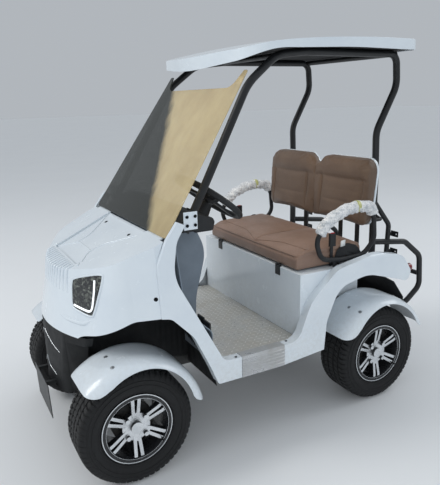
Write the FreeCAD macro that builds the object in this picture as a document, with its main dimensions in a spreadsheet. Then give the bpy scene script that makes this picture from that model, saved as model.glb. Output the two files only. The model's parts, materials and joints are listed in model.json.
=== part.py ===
import FreeCAD, Part
import Sketcher
import math
import os
from types import SimpleNamespace

# Two-seat electric golf cart. Millimetres, +Z up, the front faces -Y and the driver's side is +X.
# Stations along the cart are given from the front axle; front_axle_y moves them to the origin,
# which lies on the ground under the middle of the cart's bounding box.

V = FreeCAD.Vector
X_AXIS, Y_AXIS, Z_AXIS = V(1, 0, 0), V(0, 1, 0), V(0, 0, 1)

doc = FreeCAD.newDocument("golf_cart")

TABLE = (
    # alias, value, what it is
    ("front_axle_y", -702.5, "front axle, seen from the origin"),
    ("wheelbase", 1228, "front axle to rear axle"),
    ("half_track", 392, "centre line to the middle of a tyre"),
    ("fit_gap", 0.3, "gap between faces that seat on each other"),
    ("run_gap", 6, "gap beside something that moves"),
    # wheels
    ("tyre_radius", 229.5, "10 inch wheel with a 205/50 tyre"),
    ("tyre_width", 186, "over the sidewalls"),
    ("tread_width", 160, "flat part of the tread"),
    ("shoulder_drop", 24, "tread edge down to the shoulder"),
    ("barrel_radius", 127, "bead seat of the rim"),
    ("barrel_wall", 6, "thickness of the rim's barrel"),
    ("rim_width", 164, "between the flanges' outer faces"),
    ("flange_radius", 142, "lip that shows beside the tyre"),
    ("flange_thick", 7, "thickness of that lip"),
    ("spoke_pairs", 6, "twin spokes in a wheel"),
    ("spoke_leg", 13, "width of one leg of a twin spoke"),
    ("spoke_thick", 16, "depth of a spoke along the axle"),
    ("spoke_spread", 27, "between the legs' middles at the rim"),
    ("spoke_dish", 20, "rim lip to the hub's face"),
    ("hub_radius", 42, "solid centre of the wheel"),
    ("hub_pad", 12, "hub's back behind the spokes"),
    ("spigot_radius", 20, "axle end that the wheel turns on"),
    ("spigot_reach", 22, "how far the axle end goes into the hub"),
    ("spigot_gap", 0.5, "play between axle end and hub"),
    ("cap_radius", 24, "centre cap"),
    ("cap_height", 14, "centre cap in front of the hub"),
    ("bolt_circle", 101.6, "diameter of the four wheel studs' circle"),
    ("stud_count", 4, "wheel studs"),
    ("nut_radius", 9, "wheel nut"),
    ("nut_height", 13, "wheel nut in front of the hub"),
    ("drum_radius", 84, "brake drum"),
    ("drum_width", 46, "brake drum along the axle"),
    # steering
    ("kingpin_x", 258, "centre line to the kingpin"),
    ("kingpin_radius", 10, "kingpin"),
    ("kingpin_height", 124, "height of the fork that holds the kingpin"),
    ("kingpin_play", 0.5, "play between kingpin and knuckle"),
    ("ear_radius", 17, "round end of a fork's ear"),
    ("ear_thick", 22, "a fork's ear"),
    ("knuckle_radius", 17, "knuckle barrel round the kingpin"),
    ("beam_size", 40, "front axle beam, square"),
    ("arm_reach", 92, "kingpin to the end of the steering arm"),
    ("steer_x", 200, "middle of the steering wheel, off the centre line"),
    ("steer_y", 472, "middle of the steering wheel"),
    ("steer_z", 1032, "middle of the steering wheel"),
    ("steer_lock", 25, "degrees that a front wheel turns each way"),
    ("steer_lean", 37, "degrees that the column leans"),
    ("steer_radius", 152, "steering wheel's rim, to the middle of its grip"),
    ("grip_radius", 13, "rim's grip"),
    # fenders
    ("fender_crown", 286, "crown of a fender, from the axle"),
    ("fender_lip", 239, "outer lip of a fender, from the axle"),
    ("fender_inner", 300, "centre line to a fender's inner edge"),
    ("fender_outer", 521, "centre line to a fender's outer lip"),
    ("fender_wall", 4, "thickness of a fender"),
    ("front_fender_start", 12, "degrees above level behind the front axle"),
    ("front_fender_end", 134, "degrees, ahead of the front axle"),
    ("rear_fender_start", 22, "degrees above level behind the rear axle"),
    ("rear_fender_end", 151, "degrees, ahead of the rear axle"),
    ("stay_x", 286, "inner face of a fender's stays"),
    ("stay_thick", 7, "a fender stay"),
    ("stay_width", 24, "a fender stay"),
    ("stay_spread", 24, "degrees from upright to a stay"),
    # body shell
    ("body_half", 474, "half width of the nose at its lower edge"),
    ("side_outer", 482, "outer face of cowls, sills and quarters"),
    ("side_inner", 440, "inner face of the same"),
    ("shell_wall", 4, "thickness of the mouldings"),
    ("nose_bottom", 562, "lower edge of the nose"),
    ("nose_top", 820, "height at which the nose's upper plan is given"),
    ("hood_rear", 936, "height of the hood at the windshield"),
    ("hood_rear_y", 176, "hood's rear edge"),
    ("hood_fall", 0.4, "slope of the hood"),
    ("seam_y", 122, "seam between nose and cowls"),
    ("arch_top", 646, "underside of the cowl over the wheel"),
    ("sill_bottom", 322, "underside of the sill"),
    ("sill_top", 414, "top of the sill"),
    ("sill_front", 348, "foremost point of the sill"),
    ("step_front", 458, "front end of the step trim"),
    ("step_rear", 668, "rear end of the step trim"),
    ("step_thick", 4, "step trim"),
    ("floor_top", 400, "tread of the floor plate"),
    ("floor_thick", 4, "floor plate"),
    ("floor_front", 352, "front edge of the floor"),
    ("floor_rear", 780, "front face of the seat base"),
    ("dash_rear", 400, "rear face of the dash"),
    ("dash_half", 374, "half width of the dash"),
    ("console_half", 190, "half width of the console"),
    # seat
    ("seat_base_top", 694, "top of the seat base"),
    ("seat_deck", 650, "underside of the seat base over the wheels"),
    ("seat_base_deep", "=wheelbase - 298", "where the seat base narrows for the rear wheels"),
    ("seat_base_rear", "=wheelbase + 34", "rear of the seat base"),
    ("seat_base_narrow", 272, "half width between the rear wheels"),
    ("cushion_half", 392, "half width of the cushion"),
    ("cushion_front", 792, "front edge of the cushion"),
    ("cushion_rear", 1163, "rear edge of the cushion"),
    ("pan_bottom", 702, "underside of the seat pan"),
    ("pan_thick", 10, "seat pan"),
    ("cushion_thick", 78, "cushion's height over its pan"),
    ("hinge_y", 784, "axis of the seat's hinges"),
    ("hinge_z", 700, "axis of the seat's hinges"),
    ("hinge_x", 270, "centre line to a hinge"),
    ("hinge_width", 36, "a hinge"),
    ("back_bottom", 846, "lower edge of the seat backs"),
    ("back_top", 1156, "upper edge of the seat backs"),
    ("back_front", 1166, "front face of the seat backs at their lower edge"),
    ("back_lean", 34, "how far the backs lean over their height"),
    ("back_thick", 48, "padding of a seat back"),
    ("back_shell", 10, "shell behind that padding"),
    ("back_half", 396, "outer edge of the backs"),
    ("back_split", 6, "gap between the two backs"),
    ("back_notch", 56, "how far the inner corner of a back drops"),
    ("arm_x", 422, "centre line to an armrest"),
    ("arm_radius", 11, "armrest tube"),
    ("wrap_radius", 24, "wrapping on an armrest"),
    # roof and its frame
    ("pillar_radius", 16, "front pillar and roof rail tube"),
    ("post_x", 325, "centre line to a rear post"),
    ("post_y", "=wheelbase + 69", "foot of a rear post"),
    ("rail_height", 1615, "middle of the roof rails"),
    ("roof_front", 497, "front lip of the roof"),
    ("roof_rear", "=post_y + 143", "rear edge of the roof"),
    ("roof_half", 430, "half width of the roof"),
    ("roof_wall", 5, "thickness of the roof shell"),
    ("liner_thick", 3, "roof lining"),
    # windshield
    ("screen_foot_half", 424, "half width at the foot"),
    ("screen_head_half", 360, "half width at the head"),
    ("screen_foot_y", 174, "foot of the windshield"),
    ("screen_foot_z", 935.5, "foot of the windshield"),
    ("screen_head_y", 577, "head of the windshield"),
    ("screen_head_z", 1540, "head of the windshield"),
    ("screen_thick", 5, "acrylic sheet"),
    # chassis
    ("rail_x", 140, "centre line to the middle of a chassis rail"),
    ("rail_width", 50, "chassis rail"),
    ("rail_bottom", "=tyre_radius + 46.5", "underside of the chassis rails"),
    ("rail_top", "=rail_bottom + 60", "top of the chassis rails"),
    ("rail_front", -158, "front end of the chassis rails"),
    ("rail_rear", "=wheelbase + 332", "rear end of the chassis rails"),
    ("beam_low", 600, "underside of the beam under the rear posts"),
    ("beam_high", 640, "top of that beam"),
    ("axle_radius", 30, "rear axle tube"),
    ("gear_radius", 80, "motor and gear housing on the rear axle"),
    ("gear_half", 96, "half length of that housing"),
    ("battery_long", 300, "battery pack along the cart"),
    ("battery_wide", 460, "battery pack across"),
    ("battery_high", 250, "battery pack"),
    ("guard_radius", 14, "tube of the rear guard"),
    ("bracket_hole", 4.25, "hole in a guard bracket, for an M8 bolt"),
    ("bracket_reach", 24, "rear post's centre to the bracket's hole"),
    ("bracket_thick", 4, "plate of a guard bracket"),
    ("guard_rear", "=wheelbase + 420", "rearmost run of the guard's tube"),
)

sheet = doc.addObject("Spreadsheet::Sheet", "Sizes")
for row, (alias, value, note) in enumerate(TABLE, start=1):
    sheet.set(f"A{row}", note)
    sheet.set(f"B{row}", str(value))
    sheet.setAlias(f"B{row}", alias)
doc.recompute()


class Size:
    """A number that remembers the sheet expression it was worked out with."""

    def __init__(self, number, text):
        self.number = float(number)
        self.text = text

    def __float__(self):
        return self.number

    def __neg__(self):
        return Size(-self.number, f"(0 - {self.text})")

    def __add__(self, other):
        return Size(self.number + float(other), f"({self.text} + {text_of(other)})")

    def __radd__(self, other):
        return Size(float(other) + self.number, f"({text_of(other)} + {self.text})")

    def __sub__(self, other):
        return Size(self.number - float(other), f"({self.text} - {text_of(other)})")

    def __rsub__(self, other):
        return Size(float(other) - self.number, f"({text_of(other)} - {self.text})")

    def __mul__(self, other):
        return Size(self.number * float(other), f"({self.text} * {text_of(other)})")

    def __rmul__(self, other):
        return Size(float(other) * self.number, f"({text_of(other)} * {self.text})")

    def __truediv__(self, other):
        return Size(self.number / float(other), f"({self.text} / {text_of(other)})")


def text_of(value):
    """The sheet expression of a Size, or a plain number as text."""
    return value.text if isinstance(value, Size) else f"{float(value):.6g}"


p = SimpleNamespace(**{alias: Size(sheet.get(alias), "Sizes." + alias) for alias, value, note in TABLE})
rear_axle_y = p.front_axle_y + p.wheelbase


def station(distance):
    """The Y of a place given as its distance behind the front axle."""
    return p.front_axle_y + distance


# Document objects bound to the sheet

nodes = []


def keep(item, label):
    """Give an object the label that names its file."""
    item.Label = label
    nodes.append(item)
    return item


def bind(item, values):
    """Bind properties of an object to expressions of the sheet."""
    for name, value in values.items():
        item.setExpression(name, text_of(value))


def place(item, corner):
    bind(item, {"Placement.Base." + axis: value for axis, value in zip("xyz", corner)})


def block(name, low, high):
    """A box from its lowest to its highest corner."""
    item = doc.addObject("Part::Box", name)
    bind(item, {"Length": high[0] - low[0], "Width": high[1] - low[1], "Height": high[2] - low[2]})
    place(item, low)
    return item


def cylinder(name, foot, axis, radius, height):
    """A cylinder that starts at foot and runs along an axis."""
    item = doc.addObject("Part::Cylinder", name)
    item.Placement = FreeCAD.Placement(V(), FreeCAD.Rotation(Z_AXIS, axis))
    bind(item, {"Radius": radius, "Height": height})
    place(item, foot)
    return item


def fuse(name, items):
    item = doc.addObject("Part::MultiFuse", name)
    item.Shapes = items
    item.Refine = True
    return item


def cut(name, base, tool):
    item = doc.addObject("Part::Cut", name)
    item.Base = base
    item.Tool = tool
    return item


def mirrored(name, source):
    """The other side of a piece."""
    item = doc.addObject("Part::Mirroring", name)
    item.Source = source
    item.Normal = X_AXIS
    return item


def feature(name, shape):
    """An object whose shape is worked out in this file."""
    item = doc.addObject("Part::Feature", name)
    item.Shape = shape
    return item


PLANES = {
    # outline's u and v, and the way it is padded
    "across": (Y_AXIS, Z_AXIS, X_AXIS),
    "upright": (X_AXIS, Y_AXIS, Z_AXIS),
    "lengthwise": (X_AXIS, Z_AXIS, -Y_AXIS),
}


def smallest(values):
    return min(values, key=float)


def pad(name, corners, way, low, high):
    """A body: an outline of corners (u, v, radius) in a sketch, padded from low to high."""
    u_axis, v_axis, normal = PLANES[way]
    u_low = smallest([u for u, v, radius in corners])
    v_low = smallest([v for u, v, radius in corners])
    body = doc.addObject("PartDesign::Body", name)
    sketch = body.newObject("Sketcher::SketchObject", name + "_outline")
    sketch.Placement = FreeCAD.Placement(V(), FreeCAD.Rotation(u_axis, v_axis, normal, "ZXY"))
    start = {"across": (low, u_low, v_low), "upright": (u_low, v_low, low), "lengthwise": (u_low, high, v_low)}
    place(sketch, start[way])
    points = [(float(u - u_low), float(v - v_low)) for u, v, radius in corners]
    count = len(points)
    for i in range(count):
        ends = [V(*points[i], 0), V(*points[(i + 1) % count], 0)]
        sketch.addGeometry(Part.LineSegment(*ends), False)
    for i in range(count):
        sketch.addConstraint(Sketcher.Constraint("Coincident", i, 2, (i + 1) % count, 1))
    for i, (u, v, radius) in enumerate(corners):
        for kind, away, axis in (("DistanceX", u - u_low, -2), ("DistanceY", v - v_low, -1)):
            if abs(float(away)) < 1e-6:
                sketch.addConstraint(Sketcher.Constraint("PointOnObject", i, 1, axis))
            else:
                index = sketch.addConstraint(Sketcher.Constraint(kind, -1, 1, i, 1, float(away)))
                sketch.setExpression(f"Constraints[{index}]", text_of(away))
    solid = body.newObject("PartDesign::Pad", name + "_pad")
    solid.Profile = sketch
    bind(solid, {"Length": high - low})
    doc.recompute()
    for size in sorted({float(radius) for u, v, radius in corners if float(radius) > 0}, reverse=True):
        wanted = [sketch.Placement.multVec(V(*point, 0)) for point, corner in zip(points, corners)
                  if float(corner[2]) == size]
        radius = [corner[2] for corner in corners if float(corner[2]) == size][0]
        edges = []
        for number, edge in enumerate(solid.Shape.Edges, start=1):
            ends = [vertex.Point for vertex in edge.Vertexes]
            if len(ends) == 2 and any(abs((ends[0] - at).dot(u_axis)) + abs((ends[0] - at).dot(v_axis)) < 0.01
                                      and abs((ends[1] - at).dot(u_axis)) + abs((ends[1] - at).dot(v_axis)) < 0.01
                                      for at in wanted):
                edges.append(f"Edge{number}")
        rounding = body.newObject("PartDesign::Fillet", f"{name}_round_{int(size)}")
        rounding.Base = (solid, edges)
        bind(rounding, {"Radius": radius})
        solid = rounding
        doc.recompute()
    return body


def revolved(name, corners, placement_at, turn):
    """A body turned about the X axis from a section (x, radius from the axis)."""
    body = doc.addObject("PartDesign::Body", name)
    sketch = body.newObject("Sketcher::SketchObject", name + "_section")
    sketch.Placement = FreeCAD.Placement(V(), FreeCAD.Rotation(X_AXIS, Z_AXIS, -Y_AXIS, "ZXY"))
    count = len(corners)
    for i in range(count):
        ends = [V(float(x), float(radius), 0) for x, radius in (corners[i], corners[(i + 1) % count])]
        sketch.addGeometry(Part.LineSegment(*ends), False)
    for i in range(count):
        sketch.addConstraint(Sketcher.Constraint("Coincident", i, 2, (i + 1) % count, 1))
    for i, (x, radius) in enumerate(corners):
        for kind, away in (("DistanceX", x), ("DistanceY", radius)):
            index = sketch.addConstraint(Sketcher.Constraint(kind, -1, 1, i, 1, float(away)))
            sketch.setExpression(f"Constraints[{index}]", text_of(away))
    ring = body.newObject("PartDesign::Revolution", name + "_turned")
    ring.Profile = sketch
    ring.ReferenceAxis = (sketch, ["H_Axis"])
    ring.Angle = 360
    body.Placement = FreeCAD.Placement(V(), turn)
    place(body, placement_at)
    return body


# Shapes of lines and arcs

def side(x):
    return lambda u, v: V(x, u, v)


def front(y):
    return lambda u, v: V(u, y, v)


def plan(z):
    return lambda u, v: V(u, v, z)


def rounded_path(points, closed):
    """Edges through points (vector, radius): straight runs joined by tangent arcs."""
    count = len(points)
    ends = []
    for i, (corner, radius) in enumerate(points):
        if radius == 0 or (not closed and i in (0, count - 1)):
            ends.append((corner, None, corner))
            continue
        before = (points[i - 1][0] - corner).normalize()
        after = (points[(i + 1) % count][0] - corner).normalize()
        half = before.getAngle(after) / 2
        reach = radius / math.tan(half)
        middle = (before + after).normalize()
        arc_middle = corner + middle * (radius / math.sin(half) - radius)
        ends.append((corner + before * reach, arc_middle, corner + after * reach))
    edges = []
    for i in range(count if closed else count - 1):
        start = ends[i][2]
        stop = ends[(i + 1) % count][0]
        if ends[i][1] is not None:
            edges.append(Part.Arc(*ends[i]).toShape())
        if (stop - start).Length > 1e-6:
            edges.append(Part.LineSegment(start, stop).toShape())
    return edges


def outline(corners, where):
    """A closed wire from corners (u, v, radius) on a plane."""
    points = [(where(float(u), float(v)), float(radius)) for u, v, radius in corners]
    return Part.Wire(Part.__sortEdges__(rounded_path(points, True)))


def prism(wire, direction):
    return Part.Face(wire).extrude(direction)


def across(corners, low, high):
    """A side outline (y, z, radius) extruded along X from low to high."""
    return prism(outline(corners, side(float(low))), V(float(high - low), 0, 0))


def upright(corners, low, high):
    """A plan outline (x, y, radius) extruded along Z from low to high."""
    return prism(outline(corners, plan(float(low))), V(0, 0, float(high - low)))


def lengthwise(corners, low, high):
    """A front outline (x, z, radius) extruded along Y from low to high."""
    return prism(outline(corners, front(float(low))), V(0, float(high - low), 0))


def tube(path, radius):
    """A round tube along points (x, y, z, bend radius)."""
    points = [(V(float(x), float(y), float(z)), float(bend)) for x, y, z, bend in path]
    spine = Part.Wire(rounded_path(points, False))
    start = points[0][0]
    circle = Part.Wire(Part.makeCircle(float(radius), start, points[1][0] - start))
    return spine.makePipeShell([circle], True, True)


def rod(foot, axis, radius, length):
    return Part.makeCylinder(float(radius), float(length), V(*(float(value) for value in foot)), axis)


def box(low, high):
    low = V(*(float(value) for value in low))
    high = V(*(float(value) for value in high))
    size = high - low
    return Part.makeBox(size.x, size.y, size.z, low)


def joined(shapes):
    result = shapes[0].fuse(shapes[1:]) if len(shapes) > 1 else shapes[0]
    return result.removeSplitter()


def mirror(shape):
    return shape.mirror(V(), X_AXIS)


def both_sides(shape):
    return Part.makeCompound([shape, mirror(shape)])


def turned(corners, centre, start, stop):
    """A section (x, radius from the axis) turned about a wheel's axis between two angles."""
    wire = Part.makePolygon([V(float(x), 0, float(r)) for x, r in corners + corners[:1]])
    ring = Part.Face(wire)
    ring.rotate(V(), X_AXIS, float(start) - 90)
    solid = ring.revolve(V(), X_AXIS, float(stop) - float(start))
    solid.translate(centre)
    return solid


def moved_stations(corners):
    """Side outline with its y given from the front axle, moved to the origin's frame."""
    return [(station(y), z, radius) for y, z, radius in corners]


# Wheels

def tyre_section():
    half, flat = p.tyre_width / 2, p.tread_width / 2
    bead = p.rim_width / 2 - p.flange_thick - 1
    crown, bore = p.tyre_radius, p.barrel_radius + p.fit_gap
    right = [
        (bead, bore), (bead, p.flange_radius + 2), (half - 6, p.flange_radius + 9),
        (half, (crown + bore) / 2), (half - 3, crown - p.shoulder_drop), (flat, crown - 5), (flat - 24, crown),
    ]
    return [(x + half, radius) for x, radius in right] + [(half - x, radius) for x, radius in reversed(right)]


def spoke_pair():
    """One twin spoke in the wheel's plane: two legs that part from the hub and a slot between."""
    reach = p.barrel_radius - p.barrel_wall / 2
    root, spread, leg = p.hub_radius * 0.72, p.spoke_spread / 2, p.spoke_leg / 2
    low, high = p.rim_width / 2 - p.spoke_dish - p.spoke_thick, p.rim_width / 2
    outside = [
        (-spread * 0.62 - leg, root, 0), (spread * 0.62 + leg, root, 0),
        (spread + leg, reach, 0), (-spread - leg, reach, 0),
    ]
    inner_root = p.hub_radius + 18
    slot = [
        (-spread * 0.72 + leg, inner_root, 3), (spread * 0.72 - leg, inner_root, 3),
        (spread - leg, reach + 2, 0), (-spread + leg, reach + 2, 0),
    ]
    return across(outside, low, high).cut(across(slot, low - 1, high + 1))


def wheel_shape():
    """Alloy wheel on the X axis, outer side towards +X: barrel, flanges, six twin spokes and hub."""
    half, seat, inside = p.rim_width / 2, p.barrel_radius, p.barrel_radius - p.barrel_wall
    thick = p.flange_thick
    barrel = turned([
        (-half, inside), (half - 10, inside), (half, inside + 4), (half, p.flange_radius),
        (half - thick, p.flange_radius), (half - thick, seat), (-half + thick, seat),
        (-half + thick, p.flange_radius), (-half, p.flange_radius),
    ], V(), 0, 360)
    face, back = half - p.spoke_dish, half - p.spoke_dish - p.spoke_thick
    envelope = turned([
        (back, 0.5), (back, inside), (half - 6 - p.spoke_thick, inside + 2), (half - 6, inside + 2),
        (half - 7, inside - 12), (face, p.hub_radius), (face, 0.5),
    ], V(), 0, 360)
    step = 360 / float(p.spoke_pairs)
    pair = spoke_pair()
    spokes = []
    for i in range(int(p.spoke_pairs.number)):
        copy = pair.copy()
        copy.rotate(V(), X_AXIS, step * i)
        spokes.append(copy)
    hub = rod((back - p.hub_pad, 0, 0), X_AXIS, p.hub_radius + 14, p.spoke_thick + p.hub_pad)
    bore = rod((back - p.hub_pad - 1, 0, 0), X_AXIS, p.spigot_radius + p.spigot_gap, p.spigot_reach + 2)
    centre = envelope.common(joined(spokes)).fuse(hub)
    cap = rod((face, 0, 0), X_AXIS, p.cap_radius, p.cap_height)
    nuts = []
    for i in range(int(p.stud_count.number)):
        angle = math.radians(45 + i * 360 / float(p.stud_count))
        circle = p.bolt_circle / 2
        nuts.append(rod((face, circle * math.cos(angle), circle * math.sin(angle)), X_AXIS, p.nut_radius, p.nut_height))
    return joined([barrel, centre, cap] + nuts).cut(bore)


wheel = wheel_shape()
WHEELS = (
    # name, which side, station from the front axle
    ("front_left", 1, 0),
    ("front_right", -1, 0),
    ("rear_left", 1, p.wheelbase),
    ("rear_right", -1, p.wheelbase),
)
for name, hand, distance in WHEELS:
    half = p.tyre_width / 2
    tyre_at = (p.half_track - half if hand > 0 else -p.half_track - half, station(distance), p.tyre_radius)
    keep(revolved(f"tyre_{name}", tyre_section(), tyre_at, FreeCAD.Rotation()), f"tyre_{name}")
    item = keep(feature(f"wheel_{name}", wheel), f"wheel_{name}")
    item.Placement = FreeCAD.Placement(V(), FreeCAD.Rotation(Z_AXIS, 0 if hand > 0 else 180))
    place(item, (hand * p.half_track, station(distance), p.tyre_radius))

hub_back_x = p.half_track + p.rim_width / 2 - p.spoke_dish - p.spoke_thick - p.hub_pad
drum_x = hub_back_x - p.run_gap - p.drum_width


def axle_end(name, distance, inner_x):
    """Stub, brake drum and the spigot that a left wheel turns on."""
    y, z = station(distance), p.tyre_radius
    return [
        cylinder(name + "_stub", (inner_x, y, z), X_AXIS, 22, drum_x - inner_x + 1),
        cylinder(name + "_drum", (drum_x, y, z), X_AXIS, p.drum_radius, p.drum_width),
        cylinder(name + "_spigot", (drum_x, y, z), X_AXIS, p.spigot_radius,
                 p.drum_width + p.run_gap + p.spigot_reach),
    ]


def fender_stays(name, distance):
    """Two plates on a left axle end that hold the fender, each with a tab under its crown."""
    y, z = station(distance), p.tyre_radius
    tip = p.fender_crown - p.fender_wall - p.fit_gap
    half = p.stay_width / 2
    plates = []
    for hand in (-1, 1):
        plate = box((p.stay_x, -half, 0), (p.stay_x + p.stay_thick, half, tip - 5))
        tab = box((p.stay_x, -half, tip - 12), (p.fender_inner + 72, half, tip - 5))
        stay = joined([plate, tab])
        stay.rotate(V(), X_AXIS, hand * float(p.stay_spread))
        stay.translate(V(0, float(y), float(z)))
        plates.append(stay)
    return feature(name, joined(plates))


# Front axle and knuckles

def knuckle(name):
    """Left knuckle: barrel round the kingpin, stub axle, brake drum, steering arm and fender stays."""
    y, z = station(0), p.tyre_radius
    inside = p.kingpin_height / 2 - p.ear_thick - 2
    barrel = cylinder(name + "_barrel", (p.kingpin_x, y, z - inside), Z_AXIS, p.knuckle_radius, inside * 2)
    arm = block(name + "_arm", (p.kingpin_x - 8, y, z - 28), (p.kingpin_x + 8, y + p.arm_reach, z - 16))
    eye = cylinder(name + "_eye", (p.kingpin_x, y + p.arm_reach, z - 30), Z_AXIS, 14, 16)
    bore = cylinder(name + "_bore", (p.kingpin_x, y, z - p.kingpin_height), Z_AXIS,
                    p.kingpin_radius + p.kingpin_play, p.kingpin_height * 2)
    solid = fuse(name + "_solid", [barrel, arm, eye, fender_stays(name + "_stays", 0)]
                 + axle_end(name, 0, p.kingpin_x + p.kingpin_radius))
    return cut(name, solid, bore)


def front_axle():
    """Beam with a fork at each end that holds a kingpin."""
    y, z = station(0), p.tyre_radius
    half, tall = p.beam_size / 2, p.kingpin_height / 2
    reach = p.kingpin_x
    inner = reach - p.knuckle_radius - p.run_gap
    left = [block("axle_web", (inner - 16, y - half, z - tall), (inner, y + half, z + tall))]
    for label, low in (("lower", z - tall), ("upper", z + tall - p.ear_thick)):
        left.append(block(f"{label}_ear", (inner - 1, y - p.ear_radius, low), (reach, y + p.ear_radius, low + p.ear_thick)))
        left.append(cylinder(f"{label}_ear_end", (reach, y, low), Z_AXIS, p.ear_radius, p.ear_thick))
    left.append(cylinder("kingpin", (reach, y, z - tall - 5), Z_AXIS, p.kingpin_radius, tall * 2 + 10))
    fork = fuse("left_fork", left)
    beam = block("axle_beam", (-inner + 1, y - half, z - half), (inner - 1, y + half, z + half))
    return fuse("front_axle", [beam, fork, mirrored("right_fork", fork)])


keep(front_axle(), "front_axle")
left_knuckle = keep(knuckle("knuckle_left"), "knuckle_left")
keep(mirrored("knuckle_right", left_knuckle), "knuckle_right")


# Rear axle and battery

def rear_axle():
    """Axle tube, gear housing with the motor behind it, brake drums and fender stays."""
    y, z = station(p.wheelbase), p.tyre_radius
    tube_half = p.stay_x + p.stay_thick
    left = fuse("left_axle_end", axle_end("rear_left", p.wheelbase, p.stay_x)
                + [fender_stays("rear_stays", p.wheelbase)])
    return fuse("rear_axle", [
        cylinder("axle_tube", (-tube_half, y, z), X_AXIS, p.axle_radius, tube_half * 2),
        cylinder("gear_housing", (-p.gear_half, y, z), X_AXIS, p.gear_radius, p.gear_half * 2),
        left, mirrored("right_axle_end", left),
    ])


keep(rear_axle(), "rear_axle")
battery_front = station(p.floor_rear) + 24
keep(block("battery_pack", (-p.battery_wide / 2, battery_front, p.rail_top + 5 + p.fit_gap),
           (p.battery_wide / 2, battery_front + p.battery_long, p.rail_top + 5 + p.battery_high)), "battery_pack")


# Fenders

def fender_shape(distance, start, stop):
    """A crowned guard that follows the tyre, with a rolled outer lip."""
    crown, lip, wall = p.fender_crown, p.fender_lip, p.fender_wall
    inner, outer = p.fender_inner, p.fender_outer
    skin = [
        (inner, crown - 5), (inner + 30, crown), (outer - 70, crown), (outer - 30, crown - 9),
        (outer - 9, crown - 27), (outer, lip),
    ]
    section = skin + [(x - wall, radius - wall * 0.4) for x, radius in reversed(skin[3:])]
    section += [(x, radius - wall) for x, radius in reversed(skin[:3])]
    return turned(section, V(0, float(station(distance)), float(p.tyre_radius)), start, stop)


FENDERS = (
    # name, station of its axle, first and last angle
    ("front_fender", 0, p.front_fender_start, p.front_fender_end),
    ("rear_fender", p.wheelbase, p.rear_fender_start, p.rear_fender_end),
)
for name, distance, start, stop in FENDERS:
    left = keep(feature(f"{name}_left", fender_shape(distance, start, stop)), f"{name}_left")
    keep(mirrored(f"{name}_right", left), f"{name}_right")


# Nose, cowls and quarters

NOSE = {
    # plan of the nose at its lower edge and at its upper height
    "side": (p.body_half, p.body_half - 34),
    "corner_x": (445, 385),
    "corner_y": (-70, -38),
    "corner_round": (190, 150),
    "tip_y": (-280, -225),
    "tip_round": (600, 533),
}


def nose_section(height, inset):
    """Plan of the nose at a height: bowed front with round corners, narrower towards the hood."""
    rise = float(height - p.nose_bottom) / float(p.nose_top - p.nose_bottom)
    at = {key: float(low) + (float(high) - float(low)) * rise for key, (low, high) in NOSE.items()}
    back, inset = p.hood_rear_y + 60, float(inset)
    side_x = at["side"] - inset
    right = [
        (side_x, station(back), 0), (side_x, station(p.seam_y), 0),
        (at["corner_x"] - inset * 0.9, station(at["corner_y"] + inset * 0.7), at["corner_round"] - inset),
    ]
    left = [(-x, y, radius) for x, y, radius in reversed(right)]
    tip = (0, station(at["tip_y"] + inset * 1.1), at["tip_round"] - inset)
    return outline(right + [tip] + left, plan(float(height)))


def hood_height(distance):
    return p.hood_rear - p.hood_fall * (p.hood_rear_y - distance)


def nose_side(inset):
    """Side view of the nose: sloping hood and a front that leans back, cut off at the seam."""
    bottom, past = (p.nose_bottom, 0) if inset == 0 else (p.nose_bottom - 60, 50)
    return moved_stations([
        (p.seam_y + 38 + past, hood_height(p.seam_y + 38 + past) - inset, 0),
        (-176 + inset, hood_height(-176) - inset, 46),
        (-320 + inset, bottom, 0),
        (p.seam_y + past, bottom, 0),
        (p.seam_y + past, 850, 60),
    ])


def hood_recess(inset):
    """Space over the lowered middle panel of the hood."""
    depth = 9 + inset
    panel = [
        (-175 - inset, station(-106 - inset), 20), (175 + inset, station(-106 - inset), 20),
        (252 + inset, station(p.hood_rear_y + 60), 0), (-252 - inset, station(p.hood_rear_y + 60), 0),
    ]
    floor = moved_stations([
        (-200, hood_height(-200) - depth, 0), (p.hood_rear_y + 60, hood_height(p.hood_rear_y + 60) - depth, 0),
        (p.hood_rear_y + 60, 1000, 0), (-200, 1000, 0),
    ])
    return upright(panel, 700, 1000).common(across(floor, -300, 300))


def hood_tongue(inset):
    """Rear edge of the hood under the windshield, between the cowls."""
    start, half = p.seam_y + 20 - inset * 8, p.screen_foot_half - 34 - inset
    return across(moved_stations([
        (start, hood_height(start) - inset, 0), (p.hood_rear_y + inset * 8, hood_height(p.hood_rear_y) - inset, 0),
        (p.hood_rear_y + inset * 8, hood_height(p.hood_rear_y) - 14 - inset * 8, 0),
        (start, hood_height(start) - 30 - inset * 8, 0),
    ]), -half, half)


def nose_shape():
    wide = p.body_half + 40

    def solid(inset):
        low, high = nose_section(p.nose_bottom - 80, inset), nose_section(p.hood_rear + 60, inset)
        mass = Part.makeLoft([low, high], True, True).common(across(nose_side(inset), -wide, wide))
        return mass.fuse(hood_tongue(inset)).cut(hood_recess(inset))

    shell = solid(0).cut(solid(float(p.shell_wall)))
    rise = moved_stations([
        (-160, p.nose_bottom - 30, 0), (-160, p.nose_bottom + 4, 60), (20, p.arch_top, 90),
        (p.seam_y + 80, p.arch_top, 0), (p.seam_y + 80, p.nose_bottom - 30, 0),
    ])
    return joined([shell.cut(across(rise, -wide, wide))])


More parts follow.
